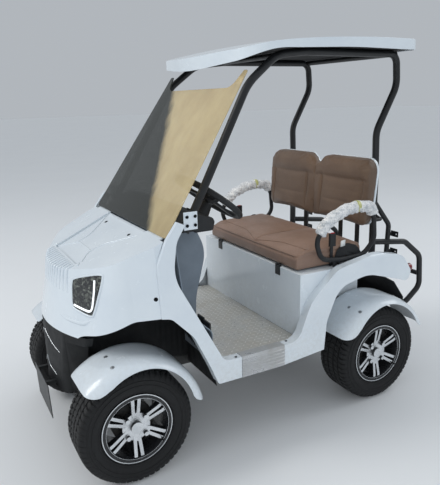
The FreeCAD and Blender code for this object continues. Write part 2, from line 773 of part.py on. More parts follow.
def cowl_corners():
    """Side view of the left cowl, from the windshield's foot down to the step."""
    front = p.seam_y + p.fit_gap
    return moved_stations([
        (front, p.arch_top, 0),
        (p.seam_y + 40, p.arch_top - 8, 50),
        (248, 548, 120),
        (p.sill_front - 32, 400, 0),
        (p.sill_front, p.sill_bottom, 14),
        (p.step_front - p.fit_gap, p.sill_bottom, 0),
        (p.step_front - p.fit_gap, p.sill_top, 0),
        (378, p.sill_top, 52),
        (278, 610, 200),
        (182, 795, 170),
        (204, 925, 90),
        (244, 985, 0),
        (212, 1000, 0),
        (p.seam_y + 42.3, hood_height(p.seam_y + 38) + 7.8, 0),
        (front, 849.6, 60),
    ])


def quarter_corners():
    """Side view of the left quarter, from the step up and over the rear wheel."""
    front = p.step_rear + p.fit_gap
    return moved_stations([
        (front, p.sill_bottom, 0),
        (p.wheelbase - 344, p.sill_bottom + 18, 0),
        (p.wheelbase - 332, 470, 90),
        (p.wheelbase - 266, 616, 120),
        (p.wheelbase - 98, 650, 200),
        (p.wheelbase + 78, 598, 60),
        (p.wheelbase + 156, 572, 26),
        (p.wheelbase + 177, 620, 34),
        (p.wheelbase + 116, 708, 80),
        (p.wheelbase - 38, 740, 200),
        (p.wheelbase - 278, 702, 130),
        (806, 572, 150),
        (742, p.sill_top, 70),
        (front, p.sill_top, 0),
    ])


def flank(outer, inner):
    """Front outline of the body's side, upright at the sill and leaning in towards the windshield."""
    return [
        (outer, p.sill_bottom - 40, 0), (outer, p.sill_top + 30, 90), (outer - 14, p.arch_top, 260),
        (outer - 42, 1040, 0), (inner - 16, 1040, 0), (inner, p.arch_top, 0), (inner, p.sill_bottom - 40, 0),
    ]


def tray(corners, section):
    """A moulding that is open towards the inside: an outer skin with walls round its edge."""
    start, end = station(0), station(p.rail_rear - 60)
    profile = outline(corners, side(float(p.side_inner - 60)))
    reach = V(160, 0, 0)
    wall = float(p.shell_wall)
    solid = prism(profile, reach).common(lengthwise(section(0), start, end))
    hollow = prism(profile.makeOffset2D(-wall), reach).common(lengthwise(section(wall), start, end))
    return solid.cut(hollow)


def cowl_section(inset):
    return flank(p.side_outer - inset, p.side_inner if inset == 0 else p.side_inner - 50)


def quarter_section(inset):
    outer, inner = p.side_outer - inset, p.side_inner if inset == 0 else p.side_inner - 50
    return [
        (outer, p.sill_bottom - 40, 0), (outer, 741 - inset, 30 - inset), (inner, 741 - inset, 0),
        (inner, p.sill_bottom - 40, 0),
    ]


nose = keep(feature("front_body", nose_shape()), "front_body")
PANELS = (
    # name, side outline, front outline
    ("side_cowl", cowl_corners(), cowl_section),
    ("quarter_panel", quarter_corners(), quarter_section),
)
for name, corners, section in PANELS:
    left = keep(feature(f"{name}_left", tray(corners, section)), f"{name}_left")
    keep(mirrored(f"{name}_right", left), f"{name}_right")


# Lamps, bumper and front plate

LAMP_CORNERS = (
    # left headlight: upper inner, upper outer, lower outer, lower inner corner
    (205, -133, 780), (355, -58, 825), (337, -95, 655), (233, -155, 675),
)


def headlight_shape(grow):
    """Left headlight, a block with four corners let into the nose; grow widens it for its seat."""
    points = [V(float(x), float(station(y)), float(z)) for x, y, z in LAMP_CORNERS]
    centre = (points[0] + points[1] + points[2] + points[3]) * 0.25
    normal = (points[1] - points[0]).cross(points[3] - points[0]).normalize()
    flat = []
    for point in points:
        level = point - normal * (point - centre).dot(normal)
        flat.append((level + (level - centre).normalize() * grow * 1.4, 14.0))
    face = Part.Face(Part.Wire(rounded_path(flat, True)))
    face.translate(-normal * (26 + grow))
    return face.extrude(normal * (30 + 2 * grow))


def bumper_section(height, corners, inset):
    right = [(x - inset, station(y + inset), r) for x, y, r in corners]
    right[0] = (right[0][0], right[0][1] + (40 if inset else 0), 0)
    left = [(-x, y, radius) for x, y, radius in reversed(right[:-1])]
    return outline(right + left, plan(float(height)))


def bumper_solid(inset):
    """Body of the bumper, or with an inset the hollow in it, from its lower outline to its upper one."""
    top = [(306, -96, 0), (300, -122, 20), (192, -186, 50), (0, -226, 300)]
    bottom = [(184, -120, 0), (182, -146, 20), (168, -196, 50), (0, -222, 300)]
    low, high = 290, float(p.nose_bottom) - 1
    lift = 2 if inset else 0
    sections = [bumper_section(low - lift, bottom, inset), bumper_section(high + lift, top, inset)]
    return Part.makeLoft(sections, True, True)


def steering_room(gap):
    """What the left fender and its stays sweep through up to full lock, with a gap round it."""
    crown = float(p.fender_crown)
    pin = V(float(p.kingpin_x), float(station(0)), 0)
    reach = crown * math.cos(math.radians(180 - float(p.front_fender_end)))
    sweep = math.hypot(float(p.fender_inner - p.kingpin_x), reach) + gap
    top = float(p.tyre_radius) + crown + gap
    beside = box((p.stay_x - gap, pin.y - sweep, -1), (p.fender_outer, pin.y + sweep, top + 1))
    beside.rotate(pin, Z_AXIS, -float(p.steer_lock))
    return rod((p.kingpin_x, pin.y, 0), Z_AXIS, sweep, top).common(beside)


def bumper_shape():
    """Black bumper under the nose, wide at its top and narrow between the wheels, open at the back."""
    gap, wall = float(p.run_gap), float(p.shell_wall)
    body = bumper_solid(0).cut(both_sides(steering_room(gap)))
    hollow = bumper_solid(wall).cut(both_sides(steering_room(gap + wall)))
    lug = box((p.rail_x - p.rail_width / 2, station(p.rail_front) - 60, p.rail_bottom + 22),
              (p.rail_x + p.rail_width / 2 - 12, station(p.rail_front) - p.fit_gap, p.rail_top))
    lugs = joined([lug, mirror(lug)]).common(bumper_solid(0))
    return joined([body.cut(hollow), lugs])


light = headlight_shape(0)
nose.Shape = nose.Shape.cut(both_sides(headlight_shape(float(p.fit_gap))))
keep(feature("headlights", both_sides(light)), "headlights")
keep(feature("front_bumper", bumper_shape()), "front_bumper")


def front_plate():
    """Bare plate ahead of the bumper on two arms."""
    sheet = pad("plate_sheet", moved_stations([(-252, 318, 0), (-255, 318, 0), (-249, 170, 0), (-246, 170, 0)]),
                "across", -130, 130)
    arms = [block(f"plate_arm_{name}", (x, station(-253), 300), (x + 16, station(-190), 316))
            for name, x in (("left", 70), ("right", -86))]
    ahead = bumper_solid(0)
    ahead.translate(V(0, -float(p.fit_gap), 0))
    return fuse("front_plate", [sheet, cut("plate_arms", fuse("plate_bars", arms), feature("bumper_room", ahead))])


keep(front_plate(), "front_plate")


# Floor and steps

floor_low = p.floor_top - p.floor_thick
keep(block("floor_plate", (-p.side_inner + p.fit_gap, station(p.floor_front), floor_low),
           (p.side_inner - p.fit_gap, station(p.floor_rear) - p.fit_gap, p.floor_top)), "floor_plate")


def step_trim():
    """Ribbed aluminium trim over the left sill: an angle with five ribs on its face."""
    low, high = p.side_inner, p.side_outer + 2
    back = high - p.step_thick
    top = p.sill_top + 2
    pitch = (p.sill_top - p.sill_bottom) / 6
    face = [(low, top, 0), (low, top - p.step_thick, 0), (back, top - p.step_thick, 0),
            (back, p.sill_bottom, 0), (high, p.sill_bottom, 0)]
    for i in range(5):
        z = p.sill_bottom + pitch * (i + 0.5)
        face += [(high, z, 0), (high + 3, z + 3, 0), (high + 3, z + 7, 0), (high, z + 10, 0)]
    face += [(high, top, 0)]
    return pad("step_left", face, "lengthwise", station(p.step_front), station(p.step_rear))


step_left = step_trim()
keep(fuse("step_trims", [step_left, mirrored("step_right", step_left)]), "step_trims")


# Seat base

def seat_base():
    """White seat box: full width under the cushion, narrow between the rear wheels, open below."""
    front_y, rear_y = station(p.floor_rear), station(p.seat_base_rear)
    wide, narrow = p.side_inner - p.fit_gap, p.seat_base_narrow
    low, high, deck = p.floor_top + p.fit_gap, p.seat_base_top, p.seat_deck

    def mass(name, inset):
        below = low - (1 if inset == 0 else 20) + 1
        return fuse(name, [
            pad(name + "_front", [
                (-wide + inset, front_y + inset, 0), (wide - inset, front_y + inset, 0),
                (wide - inset, station(p.seat_base_deep) - inset, 0),
                (-wide + inset, station(p.seat_base_deep) - inset, 0),
            ], "upright", below, high - inset),
            block(name + "_middle", (-narrow + inset, front_y + inset, below), (narrow - inset, rear_y - inset, high - inset)),
            block(name + "_deck", (-wide + inset, front_y + inset, deck + inset * 1.01), (wide - inset, rear_y - inset, high - inset)),
        ])
    hatch = block("battery_hatch", (-250, front_y + 60, high - 10), (250, rear_y - 150, high + 10))
    hollow = fuse("seat_base_hollow", [mass("seat_base_inside", p.shell_wall), hatch])
    return cut("seat_base", mass("seat_base_outside", 0), hollow)


keep(seat_base(), "seat_base")


# Leg shield, dash and steering

def leg_shield_shape():
    """Moulded bulkhead behind the nose with a rounded console in the middle."""
    wall, foot = p.shell_wall, p.floor_top + p.fit_gap
    rear = p.floor_front - 4
    top = p.hood_rear + 2
    face = [
        (206, top, 0), (236, 640, 60), (rear, 536, 40), (rear, foot, 0),
        (rear - wall, foot, 0), (rear - wall, 534, 40), (236 - wall, 636, 60), (206 - wall, top, 0),
    ]
    panel = across(moved_stations(face), -p.side_inner, p.side_inner)
    narrower = flank(p.side_outer, p.side_inner - p.fit_gap)
    inside = [(x, z, 0) for x, z, r in narrower[4:]]
    inside = inside + [(-x, z, 0) for x, z, r in reversed(inside)]
    panel = panel.common(lengthwise(inside, station(100), station(500)))

    def console(inset):
        low = foot - (0 if inset == 0 else 5)
        return moved_stations([
            (204, top - inset, 0), (392 - inset, top - inset, 30), (456 - inset, 800, 160),
            (402 - inset, 600, 200), (392 - inset, low, 0), (346, low, 0),
            (346, 538, 40), (234, 640, 60),
        ])
    half = p.console_half
    hump = across(console(0), -half, half).cut(across(console(float(wall)), -half + wall, half - wall))
    return joined([panel, hump.cut(panel)])


keep(feature("leg_shield", leg_shield_shape()), "leg_shield")


def dashboard():
    """Black dash across the cart under the windshield, with a pod round the steering column."""
    low = p.hood_rear + 2 + p.fit_gap
    bar = pad("dash_bar", moved_stations([
        (202, low, 0), (p.dash_rear, low, 18), (p.dash_rear + 6, low + 44, 22), (320, low + 66, 0), (214, low + 18, 0),
    ]), "across", -p.dash_half, p.dash_half)
    pod = pad("dash_pod", moved_stations([
        (p.dash_rear - 30, low - 34, 0), (p.dash_rear + 52, low - 34, 14), (p.dash_rear + 62, low + 8, 14),
        (p.dash_rear - 30, low + 60, 0),
    ]), "across", p.console_half + p.fit_gap, p.steer_x + 70)
    return fuse("dashboard", [bar, pod])


dash = keep(dashboard(), "dashboard")
doc.recompute()
lean = math.radians(float(p.steer_lean))
column_axis = V(0, math.sin(lean), math.cos(lean))


def on_column(distance):
    """A place on the steering column's axis, measured from the middle of the steering wheel."""
    middle = V(float(p.steer_x), float(station(p.steer_y)), float(p.steer_z))
    return middle + column_axis * float(distance)


def steering_wheel_shape():
    """Three-spoke steering wheel with its hub, boss and the shaft that runs into the column."""
    centre = on_column(0)
    rim = Part.makeTorus(float(p.steer_radius), float(p.grip_radius), centre, column_axis)
    hub = Part.makeCone(30, 46, 26, on_column(-20), column_axis)
    shaft = Part.makeCylinder(9, 40, on_column(-58), column_axis)
    spokes = []
    for angle in (90, 200, 340):
        bar = box((20, -15, -9), (p.steer_radius - 4, 15, 1))
        bar.rotate(V(), Z_AXIS, angle)
        bar.rotate(V(), X_AXIS, -float(p.steer_lean))
        bar.translate(centre)
        spokes.append(bar)
    return joined([rim, hub, shaft] + spokes)


def column_shape():
    """Shroud of the steering column, between the dash's pod and the steering wheel."""
    shroud = Part.makeCone(48, 30, 78, on_column(-20 - float(p.run_gap) - 78), column_axis)
    bore = Part.makeCylinder(9.5, 36, on_column(-60), column_axis)
    room = dash.Shape.copy()
    room.translate(column_axis * float(p.fit_gap))
    return shroud.cut(room).cut(bore)


keep(feature("steering_wheel", steering_wheel_shape()), "steering_wheel")
keep(feature("steering_column", column_shape()), "steering_column")


def pedal(name, middle, low, high, reach):
    """A pedal's pad on an arm from the bulkhead."""
    back = station(p.floor_front) - 4 + p.fit_gap
    pad_y = back + reach
    return [
        block(name + "_pad", (middle - 28, pad_y, low), (middle + 28, pad_y + 8, high)),
        block(name + "_arm", (middle - 6, back, (low + high) / 2 - 8), (middle + 6, pad_y + 1, (low + high) / 2 + 8)),
    ]


keep(fuse("pedals", pedal("brake", p.steer_x + 40, p.floor_top + 70, p.floor_top + 124, 44)
          + pedal("drive", p.steer_x + 120, p.floor_top + 40, p.floor_top + 128, 32)), "pedals")


# Seat

cushion_low = p.pan_bottom + p.pan_thick + p.fit_gap
keep(pad("seat_cushion", moved_stations([
    (p.cushion_front, cushion_low, 8), (p.cushion_front, cushion_low + p.cushion_thick - 24, 20),
    (p.cushion_front + 60, cushion_low + p.cushion_thick - 4, 0),
    (p.cushion_rear, cushion_low + p.cushion_thick, 24), (p.cushion_rear, cushion_low, 8),
]), "across", -p.cushion_half, p.cushion_half), "seat_cushion")


def hinge_parts(hand):
    """Fixed leaf with two eyes and the pin, and the moving eye with its arm, for one seat hinge."""
    middle, half = hand * p.hinge_x, p.hinge_width / 2
    y, z = station(p.hinge_y), p.hinge_z
    leaf_y = station(p.floor_rear) - p.fit_gap
    eye = 5
    side_name = "left" if hand > 0 else "right"
    fixed = [
        block(f"hinge_leaf_{side_name}", (middle - half, leaf_y - 3, z - 46), (middle + half, leaf_y, z - 5)),
        cylinder(f"hinge_eye_{side_name}", (middle - half, y, z), X_AXIS, eye, half - 8),
        cylinder(f"hinge_far_eye_{side_name}", (middle + 8, y, z), X_AXIS, eye, half - 8),
        cylinder(f"hinge_pin_{side_name}", (middle - half, y, z), X_AXIS, 2.2, half * 2),
        block(f"hinge_web_{side_name}", (middle - half, leaf_y - 3, z - 5.5), (middle - 8, y, z + 2)),
        block(f"hinge_far_web_{side_name}", (middle + 8, leaf_y - 3, z - 5.5), (middle + half, y, z + 2)),
    ]
    bore = cylinder(f"hinge_bore_{side_name}", (middle - 8, y, z), X_AXIS, 2.6, 16)
    moving = cut(f"moving_hinge_{side_name}", fuse(f"moving_eye_{side_name}", [
        cylinder(f"moving_barrel_{side_name}", (middle - 7, y, z), X_AXIS, eye, 14),
        block(f"moving_arm_{side_name}", (middle - 7, y, z + 2), (middle + 7, station(p.cushion_front) + 30, z + 5)),
    ]), bore)
    return fixed, moving


left_fixed, left_moving = hinge_parts(1)
right_fixed, right_moving = hinge_parts(-1)
keep(fuse("seat_hinges", left_fixed + right_fixed), "seat_hinges")
keep(fuse("seat_pan", [
    block("pan_board", (-p.cushion_half + 12, station(p.cushion_front) + 8, p.pan_bottom),
          (p.cushion_half - 12, station(p.cushion_rear) - 12, p.pan_bottom + p.pan_thick)),
    left_moving, right_moving,
]), "seat_pan")


def back_outline(edge):
    """Half of the seat back from the front: its inner top corner falls to the middle."""
    inner = p.back_split / 2
    return [
        (inner, p.back_bottom - edge, 10), (p.back_half + edge, p.back_bottom - edge, 40),
        (p.back_half + edge, p.back_top + edge, 64), (70, p.back_top + edge, 60),
        (inner, p.back_top - p.back_notch + edge, 14),
    ]


def back_layer(edge, ahead, thick):
    def leaning(u, v):
        share = (v - float(p.back_bottom)) / float(p.back_top - p.back_bottom)
        return V(u, float(station(p.back_front) + ahead) + float(p.back_lean) * share, v)
    return prism(outline(back_outline(edge), leaning), V(0, float(thick), 0))


keep(feature("seat_backs", both_sides(back_layer(-2, 0, p.back_thick))), "seat_backs")
keep(feature("back_shells", both_sides(back_layer(0, p.back_thick + p.fit_gap, p.back_shell))), "back_shells")


def back_rear(height):
    """Station of the rear face of the seat backs' shells at a height."""
    share = float(height - p.back_bottom) / float(p.back_top - p.back_bottom)
    return p.back_front + p.back_thick + p.back_shell + p.fit_gap + p.back_lean * share


leg_top = p.back_top - 76
leg_y = station(back_rear(leg_top)) + p.fit_gap
LEG_PLACES = (-265, -144, 144, 265)


def back_frame():
    """Flat steel legs behind the backs, from the seat base up, with two rungs that carry the shells."""
    low = p.seat_base_top + p.fit_gap
    pieces = [block(f"back_leg_{i}", (x - 14, leg_y, low), (x + 14, leg_y + 5, leg_top)) for i, x in enumerate(LEG_PLACES)]
    for i, z in enumerate((p.back_bottom + 60, leg_top - 24)):
        start = station(back_rear(z + 24)) + p.fit_gap
        pieces.append(block(f"back_rung_{i}", (-300, start, z), (300, leg_y + 5, z + 24)))
    for i, x in enumerate(LEG_PLACES):
        pieces.append(block(f"back_foot_{i}", (x - 14, leg_y - 30, low), (x + 14, leg_y + 5, low + 5)))
    return fuse("back_frame", pieces)


keep(back_frame(), "back_frame")


# Roof

ROOF_SECTIONS = (
    # station, underside of the rim, top of the rim, crown
    (470, 1544, 1588, 1600),
    (560, 1585, 1621, 1630),
    (640, 1612, 1639, 1648),
    (760, 1622, 1652, 1666),
    (900, 1626, 1660, 1680),
    (1150, 1629, 1667, 1692),
    (1470, 1629, 1663, 1686),
)


def roof_section(y, low, edge, crown):
    """Cross section of the roof at a station: flat underside, short sides and a low arch."""
    half = float(p.roof_half) + 40
    y = float(station(y))
    points = [V(-half, y, low), V(half, y, low), V(half, y, edge), V(-half, y, edge)]
    return Part.Wire([
        Part.makeLine(points[0], points[1]), Part.makeLine(points[1], points[2]),
        Part.Arc(points[2], V(0, y, crown), points[3]).toShape(), Part.makeLine(points[3], points[0]),
    ])


def roof_plan(inset, low, high):
    """Plan of the roof: bowed front with wide corners, tighter corners at the back."""
    half, front_y, rear_y = p.roof_half - inset, station(p.roof_front) + inset, station(p.roof_rear) - inset
    right = [(half, rear_y, 70 - inset), (half, front_y + 56, 130 - inset)]
    left = [(-x, y, radius) for x, y, radius in reversed(right)]
    return upright(right + [(0, front_y - 14, 900)] + left, low, high)


def roof_mass(inset, drop):
    """The roof's envelope, shrunk by inset and reaching drop below its rim."""
    sections = [roof_section(y, low - drop, edge - inset, crown - inset) for y, low, edge, crown in ROOF_SECTIONS]
    return Part.makeLoft(sections, True, False).common(roof_plan(inset, 1450, 1750))


def liner_shape():
    """Dark lining inside the roof's rim, resting on the roof rails."""
    rest = float(p.rail_height + p.pillar_radius + p.fit_gap)
    thick = float(p.liner_thick)
    sections = []
    for y, low, edge, crown in ROOF_SECTIONS:
        height = min(rest, low + 8.0)
        half = float(p.roof_half) + 40
        sections.append(Part.makePolygon([V(x, float(station(y)), z) for x, z in (
            (-half, height), (half, height), (half, height + thick), (-half, height + thick), (-half, height))]))
    return Part.makeLoft(sections, True, True).common(roof_plan(float(p.roof_wall + p.fit_gap), 1450, 1750))


wall = float(p.roof_wall)
keep(feature("roof_shell", roof_mass(0, 0).cut(roof_mass(wall, 40))), "roof_shell")
keep(feature("roof_liner", liner_shape()), "roof_liner")


def roof_frame_shape():
    """Bent tubes from the cowls over the roof and down to the rear beam, with cross tubes."""
    top = p.rail_height
    side_tube = tube([
        (412, station(256), 950, 0), (372, station(566), 1490, 220), (356, station(712), top - 14, 160),
        (345, station(860), top, 200),
        (p.post_x, station(p.post_y + 95), top, 46), (p.post_x, station(p.post_y + 107), 1476, 120),
        (p.post_x, station(p.post_y - 7), 1272, 120), (p.post_x, station(p.post_y), 1080, 200),
        (p.post_x, station(p.post_y), p.beam_high + p.fit_gap, 0),
    ], p.pillar_radius)
    bars = [
        rod((-p.post_x, station(p.post_y + 90), top), X_AXIS, 12, 2 * p.post_x),
        rod((-345, station(860), top), X_AXIS, 12, 690),
        rod((-p.post_x, station(p.post_y), 1030), X_AXIS, 11, 2 * p.post_x),
    ]
    ties = []
    for x in (-265, 265):
        start = leg_y + 5 + p.fit_gap
        ties.append(box((x - 12, start, 1020), (x + 12, station(p.post_y), 1040)))
    return joined([side_tube, mirror(side_tube)] + bars + ties)


keep(feature("roof_frame", roof_frame_shape()), "roof_frame")


def pillar_bracket():
    """Plate that bolts the left pillar's foot to the cowl, with four bolt heads."""
    outer = 412 + p.pillar_radius + p.fit_gap
    start = station(244) + p.fit_gap
    pieces = [block("bracket_plate", (outer, start, 962), (outer + 4, start + 56, 1030))]
    for i, (y, z) in enumerate(((12, 974), (44, 974), (12, 1018), (44, 1018))):
        pieces.append(cylinder(f"bracket_bolt_{i}", (outer + 3, start + y, z), X_AXIS, 6, 6))
    return fuse("bracket_left", pieces)


bracket = pillar_bracket()
keep(fuse("pillar_brackets", [bracket, mirrored("bracket_right", bracket)]), "pillar_brackets")


# Windshield

def windshield_shape():
    """Tinted sheet that leans back and narrows, with a wide notch at its head."""
    rise, run = p.screen_head_z - p.screen_foot_z, p.screen_head_y - p.screen_foot_y
    head, foot = p.screen_head_half, p.screen_foot_half

    def leaning(u, v):
        share = (v - float(p.screen_foot_z)) / float(rise)
        return V(u, float(station(p.screen_foot_y)) + float(run) * share, v)
    notch = p.screen_head_z - 65
    right = [(foot, p.screen_foot_z, 20), (head, p.screen_head_z, 10), (head - 26, p.screen_head_z, 8), (head - 60, notch, 56)]
    left = [(-x, z, radius) for x, z, radius in reversed(right)]
    normal = V(0, float(rise), -float(run)).normalize()
    return prism(outline(right + left, leaning), normal * -float(p.screen_thick))


keep(feature("windshield", windshield_shape()), "windshield")


# Chassis

def chassis():
    """Ladder frame under the floor with outriggers, sill beams, axle seats and the rear uprights."""
    half, low, high = p.rail_width / 2, p.rail_bottom, p.rail_top
    inside, outside = p.rail_x - half, p.rail_x + half
    sill = p.side_outer - p.shell_wall - p.fit_gap
    hoop_top = hood_height(66) - 9 - p.shell_wall - p.fit_gap
    pieces = []
    for y in (p.rail_front, p.floor_front, 720, p.wheelbase - 108, p.rail_rear - 40):
        start = station(y)
        pieces.append(block("cross_member", (-inside - 1, start, low + 6), (inside + 1, start + 36, high - 6)))
    left = [
        block("rail", (inside, station(p.rail_front), low), (outside, station(p.rail_rear), high)),
        block("front_seat", (inside, station(-26), p.tyre_radius + p.beam_size / 2 + p.fit_gap), (outside, station(26), low + 1)),
        block("rear_seat", (inside, station(p.wheelbase) - 34, p.tyre_radius + p.axle_radius + p.fit_gap),
              (outside, station(p.wheelbase) + 34, low + 1)),
        block("tray_edge", (inside, battery_front - 4, high - 1),
              (p.battery_wide / 2 + 8, battery_front + p.battery_long + 4, high + 5)),
        block("rear_upright", (p.rail_x - 20, station(p.post_y) - 20, high - 1), (p.rail_x + 20, station(p.post_y) + 20, p.beam_low + 1)),
        block("front_upright", (p.rail_x - 16, station(66), high - 1), (p.rail_x + 16, station(98), hoop_top)),
        block("hoop_side", (p.rail_x - 16, station(66), hoop_top - 32), (400, station(98), hoop_top)),
        block("sill_beam", (p.side_inner + p.fit_gap, station(p.step_front) + p.fit_gap, p.sill_bottom + 4),
              (sill, station(p.step_rear) - p.fit_gap, p.sill_top - 2 - p.fit_gap)),
    ]
    for name, y in (("front", 384), ("middle", 545), ("rear", 712)):
        left.append(block(f"{name}_outrigger", (inside, station(y), high - 1), (sill, station(y) + 30, floor_low - p.fit_gap)))
    half_frame = fuse("left_frame", left)
    beam = block("rear_beam", (-p.post_x - 20, station(p.post_y) - 20, p.beam_low), (p.post_x + 20, station(p.post_y) + 20, p.beam_high))
    return fuse("chassis_frame", pieces + [beam, half_frame, mirrored("right_frame", half_frame)])


keep(chassis(), "chassis_frame")


# Rear guard and tail

def post_room():
    """The left rear post with the gap round it, for what seats against the post."""
    return rod((p.post_x, station(p.post_y), p.beam_high), Z_AXIS, p.pillar_radius + p.fit_gap, 420)


def rear_guard_shape():
    """Bent tube on each side from the rear post round to the chassis, braced and tied across."""
    x, rear, post = p.post_x, p.guard_rear, station(p.post_y)
    loop = tube([
        (x, station(p.post_y), 744, 0), (x, station(rear - 128), 714, 60), (x, station(rear - 14), 624, 60),
        (x, station(rear), 455, 60), (x, station(rear - 88), 388, 40), (250, station(rear - 118), 306, 30),
        (p.rail_x + p.rail_width / 2 + p.fit_gap, station(rear - 118), 306, 0),
    ], p.guard_radius)
    brace = tube([
        (x, post, 945, 0), (x, post + 105, 818, 40), (x, post + 97, p.beam_high, 0),
    ], 12)
    foot = box((x - 14, post + 20 + p.fit_gap, p.beam_low), (x + 14, post + 113, p.beam_high + 2))
    bar = rod((-x, station(rear), 520), X_AXIS, 12, 2 * x)
    brackets = []
    for z in (768, 680):
        plate = box((x - 10, post + 133, z - 14), (x + p.bracket_reach + 12, post + 133 + p.bracket_thick, z + 14))
        arm = box((x - 6, post + 97, z - 8), (x + 6, post + 134, z + 8))
        hole = rod((x + p.bracket_reach, post + 131, z), Y_AXIS, p.bracket_hole, p.bracket_thick + 4)
        brackets += [plate.fuse(arm).cut(hole)]
    left = joined([loop, brace, foot] + brackets).cut(post_room())
    return joined([left, mirror(left), bar])


def tail_panel():
    outer = [
        (p.wheelbase + 94, 568, 0), (p.wheelbase + 162, 556, 0), (p.rail_rear - 60, 494, 0),
        (p.rail_rear + 14, 395, 0), (p.rail_rear + 14, p.rail_top + p.fit_gap, 0),
        (p.rail_rear + 10, p.rail_top + p.fit_gap, 0), (p.rail_rear + 10, 393, 0), (p.rail_rear - 63, 490, 0),
        (p.wheelbase + 160, 552, 0), (p.wheelbase + 94, 564, 0),
    ]
    apron = pad("tail_apron", moved_stations(outer), "across", -290, 290)
    flange = block("tail_flange", (-p.rail_x - 24, station(p.rail_rear) - 34, p.rail_top + p.fit_gap),
                   (p.rail_x + 24, station(p.rail_rear + 11), p.rail_top + p.fit_gap + 4))
    return fuse("tail_panel", [apron, flange])


keep(feature("rear_guard", rear_guard_shape()), "rear_guard")
keep(tail_panel(), "tail_panel")


def tail_lamp_shape():
    """Left tail lamp, a round lens seated on the quarter's rear end."""
    lamp = rod((p.side_outer - 21, station(p.wheelbase + 150), 634), Y_AXIS, 18, 36)
    seat = outline(quarter_corners(), side(float(p.side_inner) - 20)).makeOffset2D(float(p.fit_gap))
    return lamp.cut(prism(seat, V(100, 0, 0)))


keep(feature("tail_lamps", both_sides(tail_lamp_shape())), "tail_lamps")


# Armrests and belt buckles

ARM_PATH = (
    # station, height and bend radius of the corners of an armrest's loop, from its rear upwards
    (1206, 890, 50), (1184, 950, 50), (1060, 958, 120), (938, 912, 100), (874, 826, 60), (905, 738, 60),
    (1010, 724, 100), (1150, 726, 90), (1215, 790, 60),
)


def armrest_shape():
    """Closed loop of tube beside the seat with two feet, and a link to the rear post."""
    path = ARM_PATH
    x, radius = float(p.arm_x), float(p.arm_radius)
    points = [(V(x, float(station(y)), float(z)), float(r)) for y, z, r in path]
    spine = Part.Wire(Part.__sortEdges__(rounded_path(points, True)))
    first = spine.OrderedEdges[0]
    circle = Part.Wire(Part.makeCircle(radius, first.valueAt(first.FirstParameter), first.tangentAt(first.FirstParameter)))
    loop = spine.makePipeShell([circle], True, True)
    feet = [rod((x, station(y), p.seat_base_top + p.fit_gap), Z_AXIS, 8, 28) for y in (980, 1130)]
    link = tube([(x, station(1208), 880, 0), (x, station(1250), 880, 14),
                 (p.post_x, station(p.post_y), 880, 0)], 8).cut(post_room())
    return joined([loop, link] + feet)


def between(first, second, share):
    """The place at a share of the way from one corner of the loop to the next."""
    return tuple(a + (b - a) * share for a, b in zip(first[:2], second[:2])) + (0,)


def wrap_shape():
    """Soft wrapping round the upper run of an armrest and its rear corner."""
    rear, front_end = between(ARM_PATH[0], ARM_PATH[1], 0.35), between(ARM_PATH[3], ARM_PATH[4], 0.7)
    run = [rear, ARM_PATH[1], ARM_PATH[2], ARM_PATH[3], front_end]
    path = [(p.arm_x, station(y), z, r) for y, z, r in run]
    sleeve, core = tube(path, p.wrap_radius), tube(path, p.arm_radius + p.fit_gap)
    return sleeve.cut(core)


keep(feature("armrests", both_sides(armrest_shape())), "armrests")
keep(feature("armrest_wraps", both_sides(wrap_shape())), "armrest_wraps")
buckle_x = p.cushion_half + p.run_gap
blade = block("buckle_blade", (buckle_x, station(972), p.seat_base_top + p.fit_gap), (buckle_x + 4, station(988), 790))
head = block("buckle_head", (buckle_x, station(964), 786), (buckle_x + 12, station(996), 846))
buckle = fuse("buckle_left", [blade, head])
keep(fuse("belt_buckles", [buckle, mirrored("buckle_right", buckle)]), "belt_buckles")


# Checks and export

doc.recompute()
for item in doc.Objects:
    if "Invalid" in item.State or "Error" in item.State:
        raise RuntimeError(f"{item.Label} failed: {item.State}")
for item in nodes:
    shape = item.Shape
    if shape.isNull() or not shape.isValid() or not shape.Solids:
        raise RuntimeError(f"{item.Label} has no valid solid")

os.makedirs("parts", exist_ok=True)
for item in nodes:
    item.Shape.exportStep(f"parts/{item.Label}.step")
    print(item.Label, len(item.Shape.Solids), round(item.Shape.Volume / 1000), "cm3")
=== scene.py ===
import json
import math

import bmesh
import bpy
import numpy as np
from mathutils import Matrix, Vector
from mathutils.bvhtree import BVHTree

